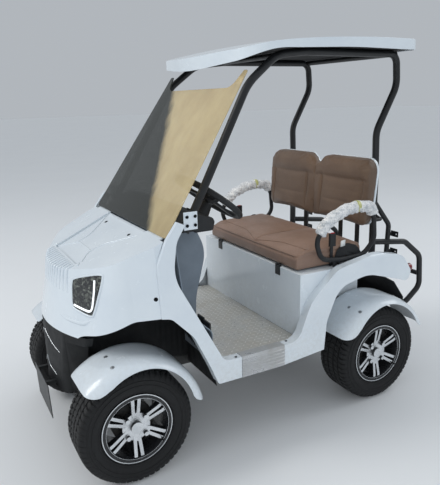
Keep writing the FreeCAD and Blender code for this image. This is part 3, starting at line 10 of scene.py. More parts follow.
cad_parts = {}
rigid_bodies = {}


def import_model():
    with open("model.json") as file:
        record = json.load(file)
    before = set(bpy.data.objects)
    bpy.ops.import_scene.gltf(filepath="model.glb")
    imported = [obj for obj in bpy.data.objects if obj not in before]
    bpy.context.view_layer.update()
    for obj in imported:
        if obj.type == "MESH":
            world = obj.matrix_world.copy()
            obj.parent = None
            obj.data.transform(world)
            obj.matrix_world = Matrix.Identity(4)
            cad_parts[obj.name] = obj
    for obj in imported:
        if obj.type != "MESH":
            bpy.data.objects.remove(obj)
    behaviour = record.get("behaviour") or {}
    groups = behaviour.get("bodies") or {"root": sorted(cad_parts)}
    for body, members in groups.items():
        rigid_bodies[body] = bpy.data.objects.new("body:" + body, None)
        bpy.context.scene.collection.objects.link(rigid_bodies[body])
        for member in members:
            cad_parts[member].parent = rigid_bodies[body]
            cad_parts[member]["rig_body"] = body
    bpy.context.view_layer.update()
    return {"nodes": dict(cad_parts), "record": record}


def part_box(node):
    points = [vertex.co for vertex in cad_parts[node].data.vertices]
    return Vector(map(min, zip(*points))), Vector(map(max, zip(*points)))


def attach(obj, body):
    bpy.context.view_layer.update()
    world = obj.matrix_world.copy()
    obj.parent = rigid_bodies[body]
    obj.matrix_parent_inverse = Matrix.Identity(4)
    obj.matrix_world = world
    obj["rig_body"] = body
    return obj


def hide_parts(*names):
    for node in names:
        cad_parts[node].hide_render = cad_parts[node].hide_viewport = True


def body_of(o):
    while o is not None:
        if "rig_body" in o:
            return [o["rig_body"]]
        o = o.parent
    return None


# Two-seat electric golf cart in a plain studio. Metres, +Z up, the front faces -Y.
# Places on the cart are given in millimetres: x from the centre line, station behind the front axle, height.

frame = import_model()


def middle(node):
    """Middle of a node's box, in millimetres to a tenth."""
    low, high = np.array(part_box(node))
    return np.round((low + high) * 500, 1)


HALF_TRACK, FRONT_AXLE, TYRE_RADIUS = middle("tyre_front_left")
WHEELBASE = middle("tyre_rear_left")[1] - FRONT_AXLE
SIDES = (("left", 1), ("right", -1))
DOWN, REARWARD = (0, 0, -1), (0, 1, 0)
rng = np.random.default_rng(7)


def at(x, station, z):
    """A place on the cart in metres."""
    return np.array((x, station + FRONT_AXLE, z), float) / 1000


def places(*points):
    return np.array([at(*point) for point in points])


# Colours and node trees

def linear(code):
    """A linear colour from an sRGB hex code."""
    parts = [int(code[i:i + 2], 16) / 255 for i in (1, 3, 5)]
    return tuple(c / 12.92 if c <= 0.04045 else ((c + 0.055) / 1.055) ** 2.4 for c in parts) + (1.0,)


def add(tree, kind, settings=None, links=None):
    """A node of that kind: settings in lower case are the node's own, the others are its sockets' values,
    and a link comes from a socket or from a node's first output."""
    node = tree.nodes.new("ShaderNode" + kind)
    for key, value in (settings or {}).items():
        if isinstance(key, str) and key.islower():
            setattr(node, key, value)
        else:
            node.inputs[key].default_value = value
    for key, source in (links or {}).items():
        tree.links.new(source.outputs[0] if hasattr(source, "outputs") else source, node.inputs[key])
    return node


def new_surface(name):
    """An empty material, its tree and its Object coordinate."""
    material = bpy.data.materials.new(name)
    material.use_nodes = True
    tree = material.node_tree
    tree.nodes.clear()
    return material, tree, add(tree, "TexCoord").outputs["Object"]


def finish(name, colour, second, rough, patch=7.0, grain=700.0, depth=0.00006, dust=None, dust_low=0.1,
           dust_high=0.5, extra=None):
    """A moulded or painted skin: patches of a second tone, grain or orange peel in the relief, gloss that
    varies with the patches and, where dust is a colour, road dust that thins out with height."""
    material, tree, spot = new_surface(name)
    patches = add(tree, "TexNoise", {"Scale": patch, "Detail": 4.0, "Roughness": 0.6}, {"Vector": spot})
    share = add(tree, "MapRange", {1: 0.3, 2: 0.7}, {0: patches})
    colours = {"data_type": "RGBA", 6: linear(colour), 7: linear(second)}
    tone = add(tree, "Mix", colours, {0: share}).outputs[2]
    if dust:
        height = add(tree, "SeparateXYZ", {}, {0: spot}).outputs[2]
        low = add(tree, "MapRange", {1: dust_low, 2: dust_high, 3: 0.55, 4: 0.0}, {0: height})
        speckle = add(tree, "TexNoise", {"Scale": 60.0, "Detail": 6.0, "Roughness": 0.7}, {"Vector": spot})
        thin = add(tree, "MapRange", {1: 0.35, 2: 0.75}, {0: speckle})
        share = add(tree, "Math", {"operation": "MULTIPLY"}, {0: low, 1: thin})
        tone = add(tree, "Mix", {"data_type": "RGBA", 7: linear(dust)}, {0: share, 6: tone}).outputs[2]
    smear = add(tree, "TexNoise", {"Scale": patch * 3, "Detail": 5.0, "Roughness": 0.65}, {"Vector": spot})
    gloss = add(tree, "MapRange", {1: 0.25, 2: 0.75, 3: rough[0], 4: rough[1]}, {0: smear})
    peel = add(tree, "TexNoise", {"Scale": grain, "Detail": 2.0}, {"Vector": spot})
    relief = add(tree, "Bump", {"Distance": depth}, {"Height": peel})
    shader = add(tree, "BsdfPrincipled", extra, {"Base Color": tone, "Roughness": gloss, "Normal": relief})
    add(tree, "OutputMaterial", {}, {"Surface": shader})
    return material


METAL = {"Metallic": 1.0}
# Gloss acrylic-capped ABS, vacuum formed: wide soft reflections with a slight peel, dusty near the road.
white_gloss = finish("white_abs_vacuum_formed", "#DCE4EA", "#D3DCE4", (0.16, 0.30), 5.0, 260.0, 0.00005,
                     "#A8A39A", 0.15, 0.62, {"Coat Weight": 0.35, "Coat Roughness": 0.08})
# Powder coated steel tube: black, half matt, with the coat's fine peel.
black_steel = finish("black_steel_powder_coated", "#151618", "#1E2022", (0.34, 0.52), 9.0, 520.0, 0.00005,
                     "#6E6A63", 0.05, 0.45)
# Grained black polypropylene: dull, greyer where it is rubbed.
black_mould = finish("black_polypropylene_moulded", "#17181A", "#212326", (0.46, 0.66), 8.0, 1100.0, 0.00012,
                     "#5E5B55", 0.1, 0.42)
# Dark grey ABS of the leg shield: satin, with boot scuffs as patches.
grey_mould = finish("grey_abs_moulded", "#7C8894", "#6E7985", (0.38, 0.60), 10.0, 800.0, 0.00010,
                    "#8E8980", 0.36, 0.6)
# Roof lining, black needle felt laid on the shell: no gloss, fibres in the relief.
dark_liner = finish("black_felt_lining", "#101113", "#1A1B1D", (0.86, 0.97), 14.0, 1500.0, 0.0003)
# Wheel arch liner and bumper, black polyethylene from a mould: dull, nearly no grain.
arch_mould = finish("black_polyethylene_moulded", "#0D0E10", "#141618", (0.55, 0.75), 8.0, 900.0, 0.0001)
# Battery case, ribbed grey polypropylene: dull, dusty.
battery_case = finish("grey_polypropylene_case", "#2B2E31", "#383B3E", (0.5, 0.7), 9.0, 900.0, 0.0001,
                      "#7E786E", 0.2, 0.6)
# Painted steel plate, satin black and blank.
plate_paint = finish("black_plate_painted", "#141617", "#1A1C1D", (0.38, 0.5), 12.0, 600.0, 0.00004)
# White paper band of the seat belt's tag, blank: matt, with the sheet's fibres.
tag_paper = finish("white_tag_paper", "#E4E6E6", "#D6D9DA", (0.6, 0.75), 20.0, 1500.0, 0.00006)
# Red button of pressed nylon in the belt's buckle: smooth, with a soft sheen.
red_button = finish("red_nylon_moulded", "#B01C22", "#9A151B", (0.3, 0.42), 30.0, 1500.0, 0.00005)
# Pale yellow adhesive tape: slightly glossy, wrinkled.
yellow_tape = finish("yellow_tape_wound", "#C6C68A", "#AEB070", (0.3, 0.45), 60.0, 500.0, 0.0003)
# Zinc plated bolts and screws: dull bright metal with a matt tint.
zinc = finish("zinc_plated_steel", "#B9BCBE", "#9EA2A5", (0.28, 0.45), 60.0, 1800.0, 0.00005, extra=METAL)
# Black oxide screws: dark, faintly bright metal.
black_screw = finish("black_oxide_steel", "#2A2B2D", "#1F2022", (0.32, 0.5), 60.0, 1800.0, 0.00005,
                     extra=METAL)
# Anodised trim strip: bright, evenly brushed.
bright_trim = finish("bright_trim_anodised", "#D5D8DA", "#BFC3C6", (0.16, 0.28), 25.0, 1200.0, 0.00003,
                     extra=METAL)


def floor_aluminium(name, colour, second, rough):
    """Rolled aluminium that feet have walked on: bright metal under a thin film of oxide and dust, which lies
    in dull patches, and fine scratches."""
    material, tree, spot = new_surface(name)
    film = add(tree, "TexNoise", {"Scale": 9.0, "Detail": 6.0, "Roughness": 0.65}, {"Vector": spot})
    worn = add(tree, "MapRange", {1: 0.35, 2: 0.65}, {0: film})
    colours = {"data_type": "RGBA", 6: linear(colour), 7: linear(second)}
    tone = add(tree, "Mix", colours, {0: worn}).outputs[2]
    gloss = add(tree, "MapRange", {1: 0.0, 2: 1.0, 3: rough[0], 4: rough[1]}, {0: worn})
    metal = add(tree, "MapRange", {1: 0.0, 2: 1.0, 3: 0.62, 4: 0.3}, {0: worn})
    spread = add(tree, "Mapping", {"Scale": (1, 14, 1)}, {"Vector": spot})
    scratch = add(tree, "TexNoise", {"Scale": 90.0, "Detail": 4.0, "Roughness": 0.6}, {"Vector": spread})
    relief = add(tree, "Bump", {"Distance": 0.00008}, {"Height": scratch})
    shader = add(tree, "BsdfPrincipled", {},
                 {"Base Color": tone, "Roughness": gloss, "Metallic": metal, "Normal": relief})
    add(tree, "OutputMaterial", {}, {"Surface": shader})
    return material


tread_plate = floor_aluminium("aluminium_tread_plate_rolled", "#CFCFCC", "#BFBCB4", (0.30, 0.52))
tread_bars = floor_aluminium("aluminium_tread_bars_worn", "#F4F4F2", "#DEDCD6", (0.22, 0.4))
ribbed_trim = floor_aluminium("aluminium_extruded_ribbed", "#C2C4C6", "#A9A9A7", (0.26, 0.46))


def vinyl(name, colour, second):
    """Brown coated fabric over foam: leather grain of cells 2.4 mm apart, drawn coarser than real, sunk
    valleys between the cells darkened with painted shade, and a tone that shifts in wide patches."""
    material, tree, spot = new_surface(name)
    wide = add(tree, "TexNoise", {"Scale": 6.0, "Detail": 4.0, "Roughness": 0.6}, {"Vector": spot})
    hide = {"feature": "DISTANCE_TO_EDGE", "Scale": 420.0, "Randomness": 0.9}
    cells = add(tree, "TexVoronoi", hide, {"Vector": spot})
    valley = add(tree, "MapRange", {1: 0.0, 2: 0.12, 3: 1.0, 4: 0.0}, {0: cells})
    share = add(tree, "MapRange", {1: 0.3, 2: 0.7}, {0: wide})
    colours = {"data_type": "RGBA", 6: linear(colour), 7: linear(second)}
    tone = add(tree, "Mix", colours, {0: share}).outputs[2]
    # painted shade: the valleys between the grain's cells are darkened towards a dark brown
    shade = add(tree, "Math", {"operation": "MULTIPLY", 1: 0.35}, {0: valley})
    tone = add(tree, "Mix", {"data_type": "RGBA", 7: linear("#3A2F28")}, {0: shade, 6: tone}).outputs[2]
    gloss = add(tree, "MapRange", {1: 0.3, 2: 0.7, 3: 0.40, 4: 0.56}, {0: wide})
    creases = add(tree, "TexNoise", {"Scale": 38.0, "Detail": 5.0, "Roughness": 0.6}, {"Vector": spot})
    sunk = add(tree, "Math", {"operation": "MULTIPLY", 1: -0.25}, {0: valley})
    height = add(tree, "Math", {"operation": "ADD"}, {0: sunk, 1: creases})
    relief = add(tree, "Bump", {"Distance": 0.0006}, {"Height": height})
    shader = add(tree, "BsdfPrincipled", {"Coat Weight": 0.12, "Coat Roughness": 0.4},
                 {"Base Color": tone, "Roughness": gloss, "Normal": relief})
    add(tree, "OutputMaterial", {}, {"Surface": shader})
    return material


# One brown vinyl in two copies: the cushion's is made lighter, painted light for its lit top, and the backs'
# darker, painted shade.
vinyl_painted_light = vinyl("brown_vinyl_leathergrain_painted_light", "#94796A", "#836B5D")
vinyl_painted_shade = vinyl("brown_vinyl_seat_back_painted_shade", "#6C5848", "#5F4D40")


def wheel_axis(tree, spot):
    """Distance from the nearest wheel axle, in metres: the front and the rear axle lie the same way
    from their middle, so the Y offset is folded about it."""
    halfway = (FRONT_AXLE + WHEELBASE / 2) / 1000
    parts = add(tree, "SeparateXYZ", {}, {0: spot}).outputs
    along = add(tree, "Math", {"operation": "SUBTRACT", 1: halfway}, {0: parts[1]})
    folded = add(tree, "Math", {"operation": "ABSOLUTE"}, {0: along})
    across = add(tree, "Math", {"operation": "SUBTRACT", 1: WHEELBASE / 2000}, {0: folded})
    high = add(tree, "Math", {"operation": "SUBTRACT", 1: TYRE_RADIUS / 1000}, {0: parts[2]})
    squares = [add(tree, "Math", {"operation": "MULTIPLY"}, {0: leg, 1: leg}) for leg in (across, high)]
    both = add(tree, "Math", {"operation": "ADD"}, {0: squares[0], 1: squares[1]})
    return add(tree, "Math", {"operation": "SQRT"}, {0: both})


def tyre_rubber():
    """Road tyre: black rubber, greyer and rougher on the tread, with dust lying in the grooves."""
    material, tree, spot = new_surface("rubber_tyre_moulded")
    worn = add(tree, "MapRange", {1: 0.2235, 2: 0.229}, {0: wheel_axis(tree, spot)})
    dust = add(tree, "TexNoise", {"Scale": 34.0, "Detail": 5.0, "Roughness": 0.7}, {"Vector": spot})
    share = add(tree, "MapRange", {1: 0.35, 2: 0.7}, {0: dust})
    colours = {"data_type": "RGBA", 6: linear("#0E0F11"), 7: linear("#1A1A1B")}
    tone = add(tree, "Mix", colours, {0: share}).outputs[2]
    grey = add(tree, "Math", {"operation": "MULTIPLY", 1: 0.4}, {0: worn})
    tone = add(tree, "Mix", {"data_type": "RGBA", 7: linear("#303030")}, {0: grey, 6: tone}).outputs[2]
    gloss = add(tree, "MapRange", {1: 0.3, 2: 0.7, 3: 0.62, 4: 0.84}, {0: dust})
    grain = add(tree, "TexNoise", {"Scale": 420.0, "Detail": 3.0}, {"Vector": spot})
    relief = add(tree, "Bump", {"Distance": 0.00025}, {"Height": grain})
    shader = add(tree, "BsdfPrincipled", {}, {"Base Color": tone, "Roughness": gloss, "Normal": relief})
    add(tree, "OutputMaterial", {}, {"Surface": shader})
    return material


def wheel_alloy():
    """Cast wheel painted black, then faced on a lathe: the spokes' and hub's faces that look outward are
    bright and carry turned rings (drawn 2 mm apart, coarser than real), the rim's lip is black but for a
    bright line at its edge, and the pockets stay gloss black."""
    material, tree, spot = new_surface("alloy_wheel_cast_and_turned")
    normal = add(tree, "TexCoord").outputs["Normal"]
    facing = add(tree, "SeparateXYZ", {}, {0: normal})
    side = add(tree, "Math", {"operation": "SIGN"}, {0: add(tree, "SeparateXYZ", {}, {0: spot})})
    outward = add(tree, "Math", {"operation": "MULTIPLY"}, {0: facing, 1: side})
    far = wheel_axis(tree, spot)
    disc = add(tree, "Math", {"operation": "LESS_THAN", 1: 0.126}, {0: far})
    line = add(tree, "Math", {"operation": "GREATER_THAN", 1: 0.1385}, {0: far})
    lathed = add(tree, "Math", {"operation": "MAXIMUM"}, {0: disc, 1: line})
    open_face = add(tree, "MapRange", {1: 0.70, 2: 0.80}, {0: outward})
    faced = add(tree, "Math", {"operation": "MULTIPLY"}, {0: open_face, 1: lathed})
    speck = add(tree, "TexNoise", {"Scale": 30.0, "Detail": 5.0, "Roughness": 0.6}, {"Vector": spot})
    dark = {"data_type": "RGBA", 6: linear("#17181A"), 7: linear("#26282B")}
    bright = {"data_type": "RGBA", 6: linear("#F2F4F6"), 7: linear("#C9CDD1")}
    dark, bright = (add(tree, "Mix", colours, {0: speck}).outputs[2] for colours in (dark, bright))
    tone = add(tree, "Mix", {"data_type": "RGBA"}, {0: faced, 6: dark, 7: bright}).outputs[2]
    gloss = add(tree, "MapRange", {1: 0.3, 2: 0.7, 3: 0.20, 4: 0.36}, {0: speck})
    turns = add(tree, "Math", {"operation": "MULTIPLY", 1: 3141.6}, {0: far})
    rings = add(tree, "Math", {"operation": "SINE"}, {0: turns})
    height = add(tree, "Math", {"operation": "MULTIPLY"}, {0: rings, 1: faced})
    relief = add(tree, "Bump", {"Distance": 0.00005}, {"Height": height})
    shader = add(tree, "BsdfPrincipled", {},
                 {"Base Color": tone, "Roughness": gloss, "Metallic": faced, "Normal": relief})
    add(tree, "OutputMaterial", {}, {"Surface": shader})
    return material


def lamp_glass():
    """Clear polycarbonate over a dark faceted reflector, drawn as painted reflection: small bright and dark
    cells and dark clouds under a glossy face.
    """
    material, tree, spot = new_surface("lamp_lens_painted_reflections")
    cell = add(tree, "TexVoronoi", {"feature": "F1", "Scale": 120.0}, {"Vector": spot})
    shade = add(tree, "SeparateColor", {}, {0: cell.outputs["Color"]})
    share = add(tree, "MapRange", {1: 0.55, 2: 1.0}, {0: shade})
    # painted reflection: the reflector's facets, bright or dark cell by cell, and dark clouds over them
    colours = {"data_type": "RGBA", 6: linear("#0C0E10"), 7: linear("#6C7068")}
    tone = add(tree, "Mix", colours, {0: share}).outputs[2]
    cloud = add(tree, "TexNoise", {"Scale": 26.0, "Detail": 4.0, "Roughness": 0.6}, {"Vector": spot})
    painted_dark_reflection = add(tree, "MapRange", {1: 0.45, 2: 0.7, 3: 0.0, 4: 0.8}, {0: cloud})
    tone = add(tree, "Mix", {"data_type": "RGBA", 7: linear("#14150F")}, {0: painted_dark_reflection, 6: tone}).outputs[2]
    gloss = add(tree, "MapRange", {1: 0.0, 2: 1.0, 3: 0.16, 4: 0.4}, {0: shade})
    relief = add(tree, "Bump", {"Distance": 0.0012}, {"Height": cell})
    shader = add(tree, "BsdfPrincipled", {"Coat Weight": 1.0, "Coat Roughness": 0.03},
                 {"Base Color": tone, "Roughness": gloss, "Normal": relief})
    add(tree, "OutputMaterial", {}, {"Surface": shader})
    return material


def red_glass():
    """Red acrylic tail lens with small prisms in its back, each painted brighter in its middle and darker at
    its edges as painted light and shade, glossy outside.
    """
    material, tree, spot = new_surface("red_lens_acrylic")
    prism = add(tree, "TexVoronoi", {"feature": "F1", "Scale": 260.0, "Randomness": 0.0}, {"Vector": spot})
    share = add(tree, "MapRange", {1: 0.1, 2: 0.6}, {0: prism})
    # painted light and shade: each prism bright red in its middle, dark red at its edges
    colours = {"data_type": "RGBA", 6: linear("#A5181A"), 7: linear("#5C0B0D")}
    tone = add(tree, "Mix", colours, {0: share}).outputs[2]
    gloss = add(tree, "MapRange", {1: 0.0, 2: 1.0, 3: 0.12, 4: 0.3}, {0: prism})
    relief = add(tree, "Bump", {"Distance": 0.0006}, {"Height": prism})
    shader = add(tree, "BsdfPrincipled", {"Coat Weight": 1.0},
                 {"Base Color": tone, "Roughness": gloss, "Normal": relief})
    add(tree, "OutputMaterial", {}, {"Surface": shader})
    return material


def light_strip():
    """Frosted light guide, lit: white with a soft falloff where its surface is rougher."""
    material, tree, spot = new_surface("light_guide_frosted")
    speck = add(tree, "TexNoise", {"Scale": 300.0, "Detail": 3.0}, {"Vector": spot})
    colours = {"data_type": "RGBA", 6: linear("#FFFFFF"), 7: linear("#E9F0F6")}
    tone = add(tree, "Mix", colours, {0: speck}).outputs[2]
    gloss = add(tree, "MapRange", {1: 0.3, 2: 0.7, 3: 0.25, 4: 0.4}, {0: speck})
    shader = add(tree, "BsdfPrincipled", {"Emission Strength": 0.55},
                 {"Base Color": tone, "Emission Color": tone, "Roughness": gloss})
    add(tree, "OutputMaterial", {}, {"Surface": shader})
    return material


def smoked_acrylic():
    """Smoked acrylic sheet: dark and see-through, with a painted reflection, bronze and milky, above a line
    that climbs from the foot's near end to the head's far end; a haze of wiping marks."""
    material, tree, spot = new_surface("acrylic_sheet_smoked_painted_reflection")
    spread = add(tree, "Mapping", {"Scale": (1, 1, 0.4)}, {"Vector": spot})
    haze = add(tree, "TexNoise", {"Scale": 7.0, "Detail": 5.0, "Roughness": 0.6}, {"Vector": spread})
    share = add(tree, "MapRange", {1: 0.3, 2: 0.7}, {0: haze})
    # painted reflection: bronze and milky tones above the slanting line
    colours = {"data_type": "RGBA", 6: linear("#E2CFA0"), 7: linear("#C9B488")}
    painted_reflection = add(tree, "Mix", colours, {0: share}).outputs[2]
    parts = add(tree, "SeparateXYZ", {}, {0: spot}).outputs
    above = add(tree, "Math", {"operation": "SUBTRACT", 1: 0.9}, {0: parts[2]})
    climb = add(tree, "Math", {"operation": "MULTIPLY", 1: 0.9}, {0: above})
    slant = add(tree, "Math", {"operation": "ADD"}, {0: parts[0], 1: climb})
    side = add(tree, "Math", {"operation": "SUBTRACT", 1: 0.27}, {0: slant})
    wander = add(tree, "Math", {"operation": "MULTIPLY", 1: 0.12}, {0: haze})
    edge = add(tree, "Math", {"operation": "ADD"}, {0: side, 1: wander})
    reflection_share = add(tree, "MapRange", {1: 0.045, 2: 0.095}, {0: edge})
    tone = add(tree, "Mix", {"data_type": "RGBA", 6: linear("#23261F")}, {0: reflection_share, 7: painted_reflection}).outputs[2]
    gloss = add(tree, "MapRange", {1: 0.3, 2: 0.7, 3: 0.04, 4: 0.12}, {0: haze})
    solid = add(tree, "MapRange", {1: 0.0, 2: 1.0, 3: 0.84, 4: 0.78}, {0: reflection_share})
    wave = add(tree, "TexNoise", {"Scale": 12.0, "Detail": 2.0}, {"Vector": spot})
    relief = add(tree, "Bump", {"Distance": 0.0004}, {"Height": wave})
    shader = add(tree, "BsdfPrincipled", {"Transmission Weight": 0.25},
                 {"Base Color": tone, "Roughness": gloss, "Alpha": solid, "Normal": relief})
    add(tree, "OutputMaterial", {}, {"Surface": shader})
    return material


def bubble_film():
    """Bubble wrap wound over the armrest: milky film, glossy on each bubble, creased between them, with
    painted grey shade that follows the crumples.
    """
    material, tree, spot = new_surface("bubble_film_wound")
    crumple_and_shade = add(tree, "TexNoise", {"Scale": 45.0, "Detail": 5.0, "Roughness": 0.7}, {"Vector": spot})
    bubbles = {"feature": "SMOOTH_F1", "Scale": 105.0, "Randomness": 0.4}
    cell = add(tree, "TexVoronoi", bubbles, {"Vector": spot})
    share = add(tree, "MapRange", {1: 0.35, 2: 0.65}, {0: crumple_and_shade})
    # painted shade: the film turns grey in patches that follow the crumple noise
    colours = {"data_type": "RGBA", 6: linear("#FFFFFF"), 7: linear("#C6CCD2")}
    tone = add(tree, "Mix", colours, {0: share}).outputs[2]
    gloss = add(tree, "MapRange", {1: 0.0, 2: 0.7, 3: 0.12, 4: 0.4}, {0: cell})
    height = add(tree, "Math", {"operation": "SUBTRACT"}, {0: crumple_and_shade, 1: cell})
    relief = add(tree, "Bump", {"Distance": 0.004}, {"Height": height})
    shader = add(tree, "BsdfPrincipled", {"Transmission Weight": 0.15},
                 {"Base Color": tone, "Roughness": gloss, "Normal": relief})
    add(tree, "OutputMaterial", {}, {"Surface": shader})
    return material


def webbing():
    """Woven polyester belt: black and matt, with slanting ribs drawn coarser than the real 1.6 mm."""
    material, tree, spot = new_surface("black_webbing_woven")
    ribs = {"wave_type": "BANDS", "bands_direction": "DIAGONAL", "Scale": 95.0, "Distortion": 0.6}
    weave = add(tree, "TexWave", ribs, {"Vector": spot}).outputs["Fac"]
    colours = {"data_type": "RGBA", 6: linear("#131416"), 7: linear("#26282B")}
    tone = add(tree, "Mix", colours, {0: weave}).outputs[2]
    gloss = add(tree, "MapRange", {1: 0.0, 2: 1.0, 3: 0.6, 4: 0.8}, {0: weave})
    relief = add(tree, "Bump", {"Distance": 0.0005}, {"Height": weave})
    shader = add(tree, "BsdfPrincipled", {}, {"Base Color": tone, "Roughness": gloss, "Normal": relief})
    add(tree, "OutputMaterial", {}, {"Surface": shader})
    return material


rubber = tyre_rubber()
lens = lamp_glass()
strip_light = light_strip()
bubble_wrap = bubble_film()
belt_cloth = webbing()
SLOT_FINISH = {
    "tyre_rubber": rubber, "wheel_alloy": wheel_alloy(), "black_steel": black_steel,
    "white_body": white_gloss, "black_plastic": black_mould, "grey_plastic": grey_mould,
    "brown_vinyl": vinyl_painted_light, "lamp_lens": lens, "red_lens": red_glass(),
    "smoked_acrylic": smoked_acrylic(), "bright_aluminium": tread_plate, "battery_case": battery_case,
    "foam_wrap": bubble_wrap, "bare_plate": plate_paint,
}
NODE_SLOT = {row["node"]: row["material_slot"] for row in frame["record"]["subparts"]}


# Pieces

def coordinates(mesh):
    points = np.empty(len(mesh.vertices) * 3, np.float32)
    mesh.vertices.foreach_get("co", points)
    return points.reshape(-1, 3).astype(float)


def put(mesh, points):
    mesh.vertices.foreach_set("co", np.asarray(points, np.float32).ravel())
    mesh.update()


def settle(mesh, sharp, flatten=False):
    """Merges doubles and, where wanted, faces that are flat together, turns all faces outward and shades
    smooth up to an angle."""
    work = bmesh.new()
    work.from_mesh(mesh)
    bmesh.ops.remove_doubles(work, verts=work.verts, dist=2e-6)
    if flatten:
        bmesh.ops.dissolve_limit(work, angle_limit=math.radians(0.4), verts=work.verts, edges=work.edges)
    bmesh.ops.recalc_face_normals(work, faces=work.faces)
    work.to_mesh(mesh)
    work.free()
    mesh.shade_smooth()
    if sharp:
        mesh.set_sharp_from_angle(angle=math.radians(sharp))


def piece(name, mesh, material, node):
    """A finished object at the origin, in the given material, that rides on a node's body."""
    thing = bpy.data.objects.new(name, mesh)
    bpy.context.scene.collection.objects.link(thing)
    mesh.materials.clear()
    mesh.materials.append(material)
    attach(thing, body_of(frame["nodes"][node])[0])
    return thing


def edge_round(thing, width, angle=40):
    bevel = thing.modifiers.new("edge", "BEVEL")
    bevel.width = width
    bevel.segments = 2
    bevel.limit_method = "ANGLE"
    bevel.angle_limit = math.radians(angle)
    bevel.harden_normals = True


def thicken(thing, thickness, offset=-1):
    """A wall on a sheet, inward unless offset says otherwise; 0 is half to each side."""
    wall = thing.modifiers.new("wall", "SOLIDIFY")
    wall.thickness = thickness
    wall.offset = offset


def skin(node, material, edge):
    """The CAD node's own shape, smooth over its curves and with small round edges."""
    mesh = frame["nodes"][node].data.copy()
    settle(mesh, 34, True)
    thing = piece(node + "_skin", mesh, material or SLOT_FINISH[NODE_SLOT[node]], node)
    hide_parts(node)
    if edge:
        edge_round(thing, edge)


def mesh_from(name, points, faces):
    """A mesh from whole arrays: vertices (n, 3) and faces of equal size (k, corners)."""
    mesh = bpy.data.meshes.new(name)
    mesh.vertices.add(len(points))
    mesh.vertices.foreach_set("co", np.asarray(points, np.float32).ravel())
    count, corners = faces.shape
    mesh.loops.add(count * corners)
    mesh.loops.foreach_set("vertex_index", faces.astype(np.int32).ravel())
    mesh.polygons.add(count)
    mesh.polygons.foreach_set("loop_start", np.arange(0, count * corners, corners, dtype=np.int32))
    mesh.update(calc_edges=True)
    return mesh


def grid_mesh(name, grids, close_u=False, close_v=False):
    """Quads over grids of points (n, m, 3); a closed direction joins its last row to its first."""
    vertices, faces, offset = [], [], 0
    for points in grids:
        rows, columns = points.shape[:2]
        u = np.arange(rows if close_u else rows - 1)
        v = np.arange(columns if close_v else columns - 1)
        u, v = np.meshgrid(u, v, indexing="ij")
        next_u, next_v = (u + 1) % rows, (v + 1) % columns
        corners = ((u, v), (next_u, v), (next_u, next_v), (u, next_v))
        quads = np.stack([row * columns + column for row, column in corners], -1)
        faces.append(quads.reshape(-1, 4) + offset)
        vertices.append(points.reshape(-1, 3))
        offset += rows * columns
    return mesh_from(name, np.concatenate(vertices), np.concatenate(faces))


def formed(name, grids, material, node, sharp=35, close_u=False, close_v=True):
    """One piece from grids of points."""
    mesh = grid_mesh(name, grids, close_u, close_v)
    settle(mesh, sharp)
    return piece(name, mesh, material, node)


def unit(vectors):
    return vectors / np.maximum(np.linalg.norm(vectors, axis=-1, keepdims=True), 1e-12)


def rounded(points, radii, step=0.004):
    """A line through corners: each corner gives way to a quadratic curve that starts and ends one radius
    from it, and the whole is sampled about every step metres. One radius may stand for all."""
    radii = np.broadcast_to(radii, len(points))
    parts = [points[:1]]
    for i in range(1, len(points) - 1):
        before, corner, after = points[i - 1:i + 2]
        enter = corner + unit(before - corner) * min(radii[i], np.linalg.norm(before - corner) * 0.48)
        leave = corner + unit(after - corner) * min(radii[i], np.linalg.norm(after - corner) * 0.48)
        t = np.linspace(0, 1, 13)[:, None]
        parts.append((1 - t) ** 2 * enter + 2 * t * (1 - t) * corner + t ** 2 * leave)
    parts.append(points[-1:])
    line = np.concatenate(parts)
    along = np.concatenate([[0], np.cumsum(np.linalg.norm(np.diff(line, axis=0), axis=1))])
    want = np.linspace(0, along[-1], max(int(along[-1] / step), 4))
    return np.stack([np.interp(want, along, line[:, axis]) for axis in range(3)], 1)


def swept(line, radius, sides=12, upward=(0, 0, 1), wide=1.0, closed=False):
    """Tube on a line: point(s, a) = line(s) + radius(s) (wide cos a side(s) + sin a top(s)); the ends of an
    open tube are drawn in to a point. Side is square to the line and to the upward direction."""
    if closed:
        ahead = unit(np.roll(line, -1, 0) - np.roll(line, 1, 0))
    else:
        ahead = unit(np.gradient(line, axis=0))
    side = unit(np.cross(ahead, np.asarray(upward, float)))
    top = np.cross(side, ahead)
    angle = np.linspace(0, 2 * np.pi, sides, endpoint=False)
    size = np.broadcast_to(radius, len(line)).astype(float).copy()
    if not closed:
        line, side, top = (np.concatenate([rows[:1], rows, rows[-1:]]) for rows in (line, side, top))
        size = np.concatenate([[0], size, [0]])
    ring = wide * np.cos(angle)[None, :, None] * side[:, None] + np.sin(angle)[None, :, None] * top[:, None]
    return line[:, None] + size[:, None, None] * ring


def tube(name, line, radius, material, node, slot=None, **shape):
    closed = shape.get("closed", False)
    return formed(name, [swept(line, radius, **shape)], material, node, 60, closed)


def turned(profile, foot, axis, segments=20):
    """Points of a profile (radius, height) in millimetres, turned about the axis at the foot."""
    axis = unit(np.asarray(axis, float))
    side = unit(np.cross(axis, (0.3, 0.5, 0.81)))
    other = np.cross(axis, side)
    angle = np.linspace(0, 2 * np.pi, segments, endpoint=False)
    ring = np.cos(angle)[:, None] * side + np.sin(angle)[:, None] * other
    profile = np.array(profile) / 1000
    return foot + profile[:, 0, None, None] * ring[None] + profile[:, 1, None, None] * axis


def surface_of(source):
    """Search tree over the triangles of a CAD node or of a finished mesh, to seat small parts on it."""
    mesh = frame["nodes"][source].data if isinstance(source, str) else source
    mesh.calc_loop_triangles()
    corners = np.empty(len(mesh.loop_triangles) * 3, np.int32)
    mesh.loop_triangles.foreach_get("vertices", corners)
    return BVHTree.FromPolygons(coordinates(mesh).tolist(), corners.reshape(-1, 3).tolist())


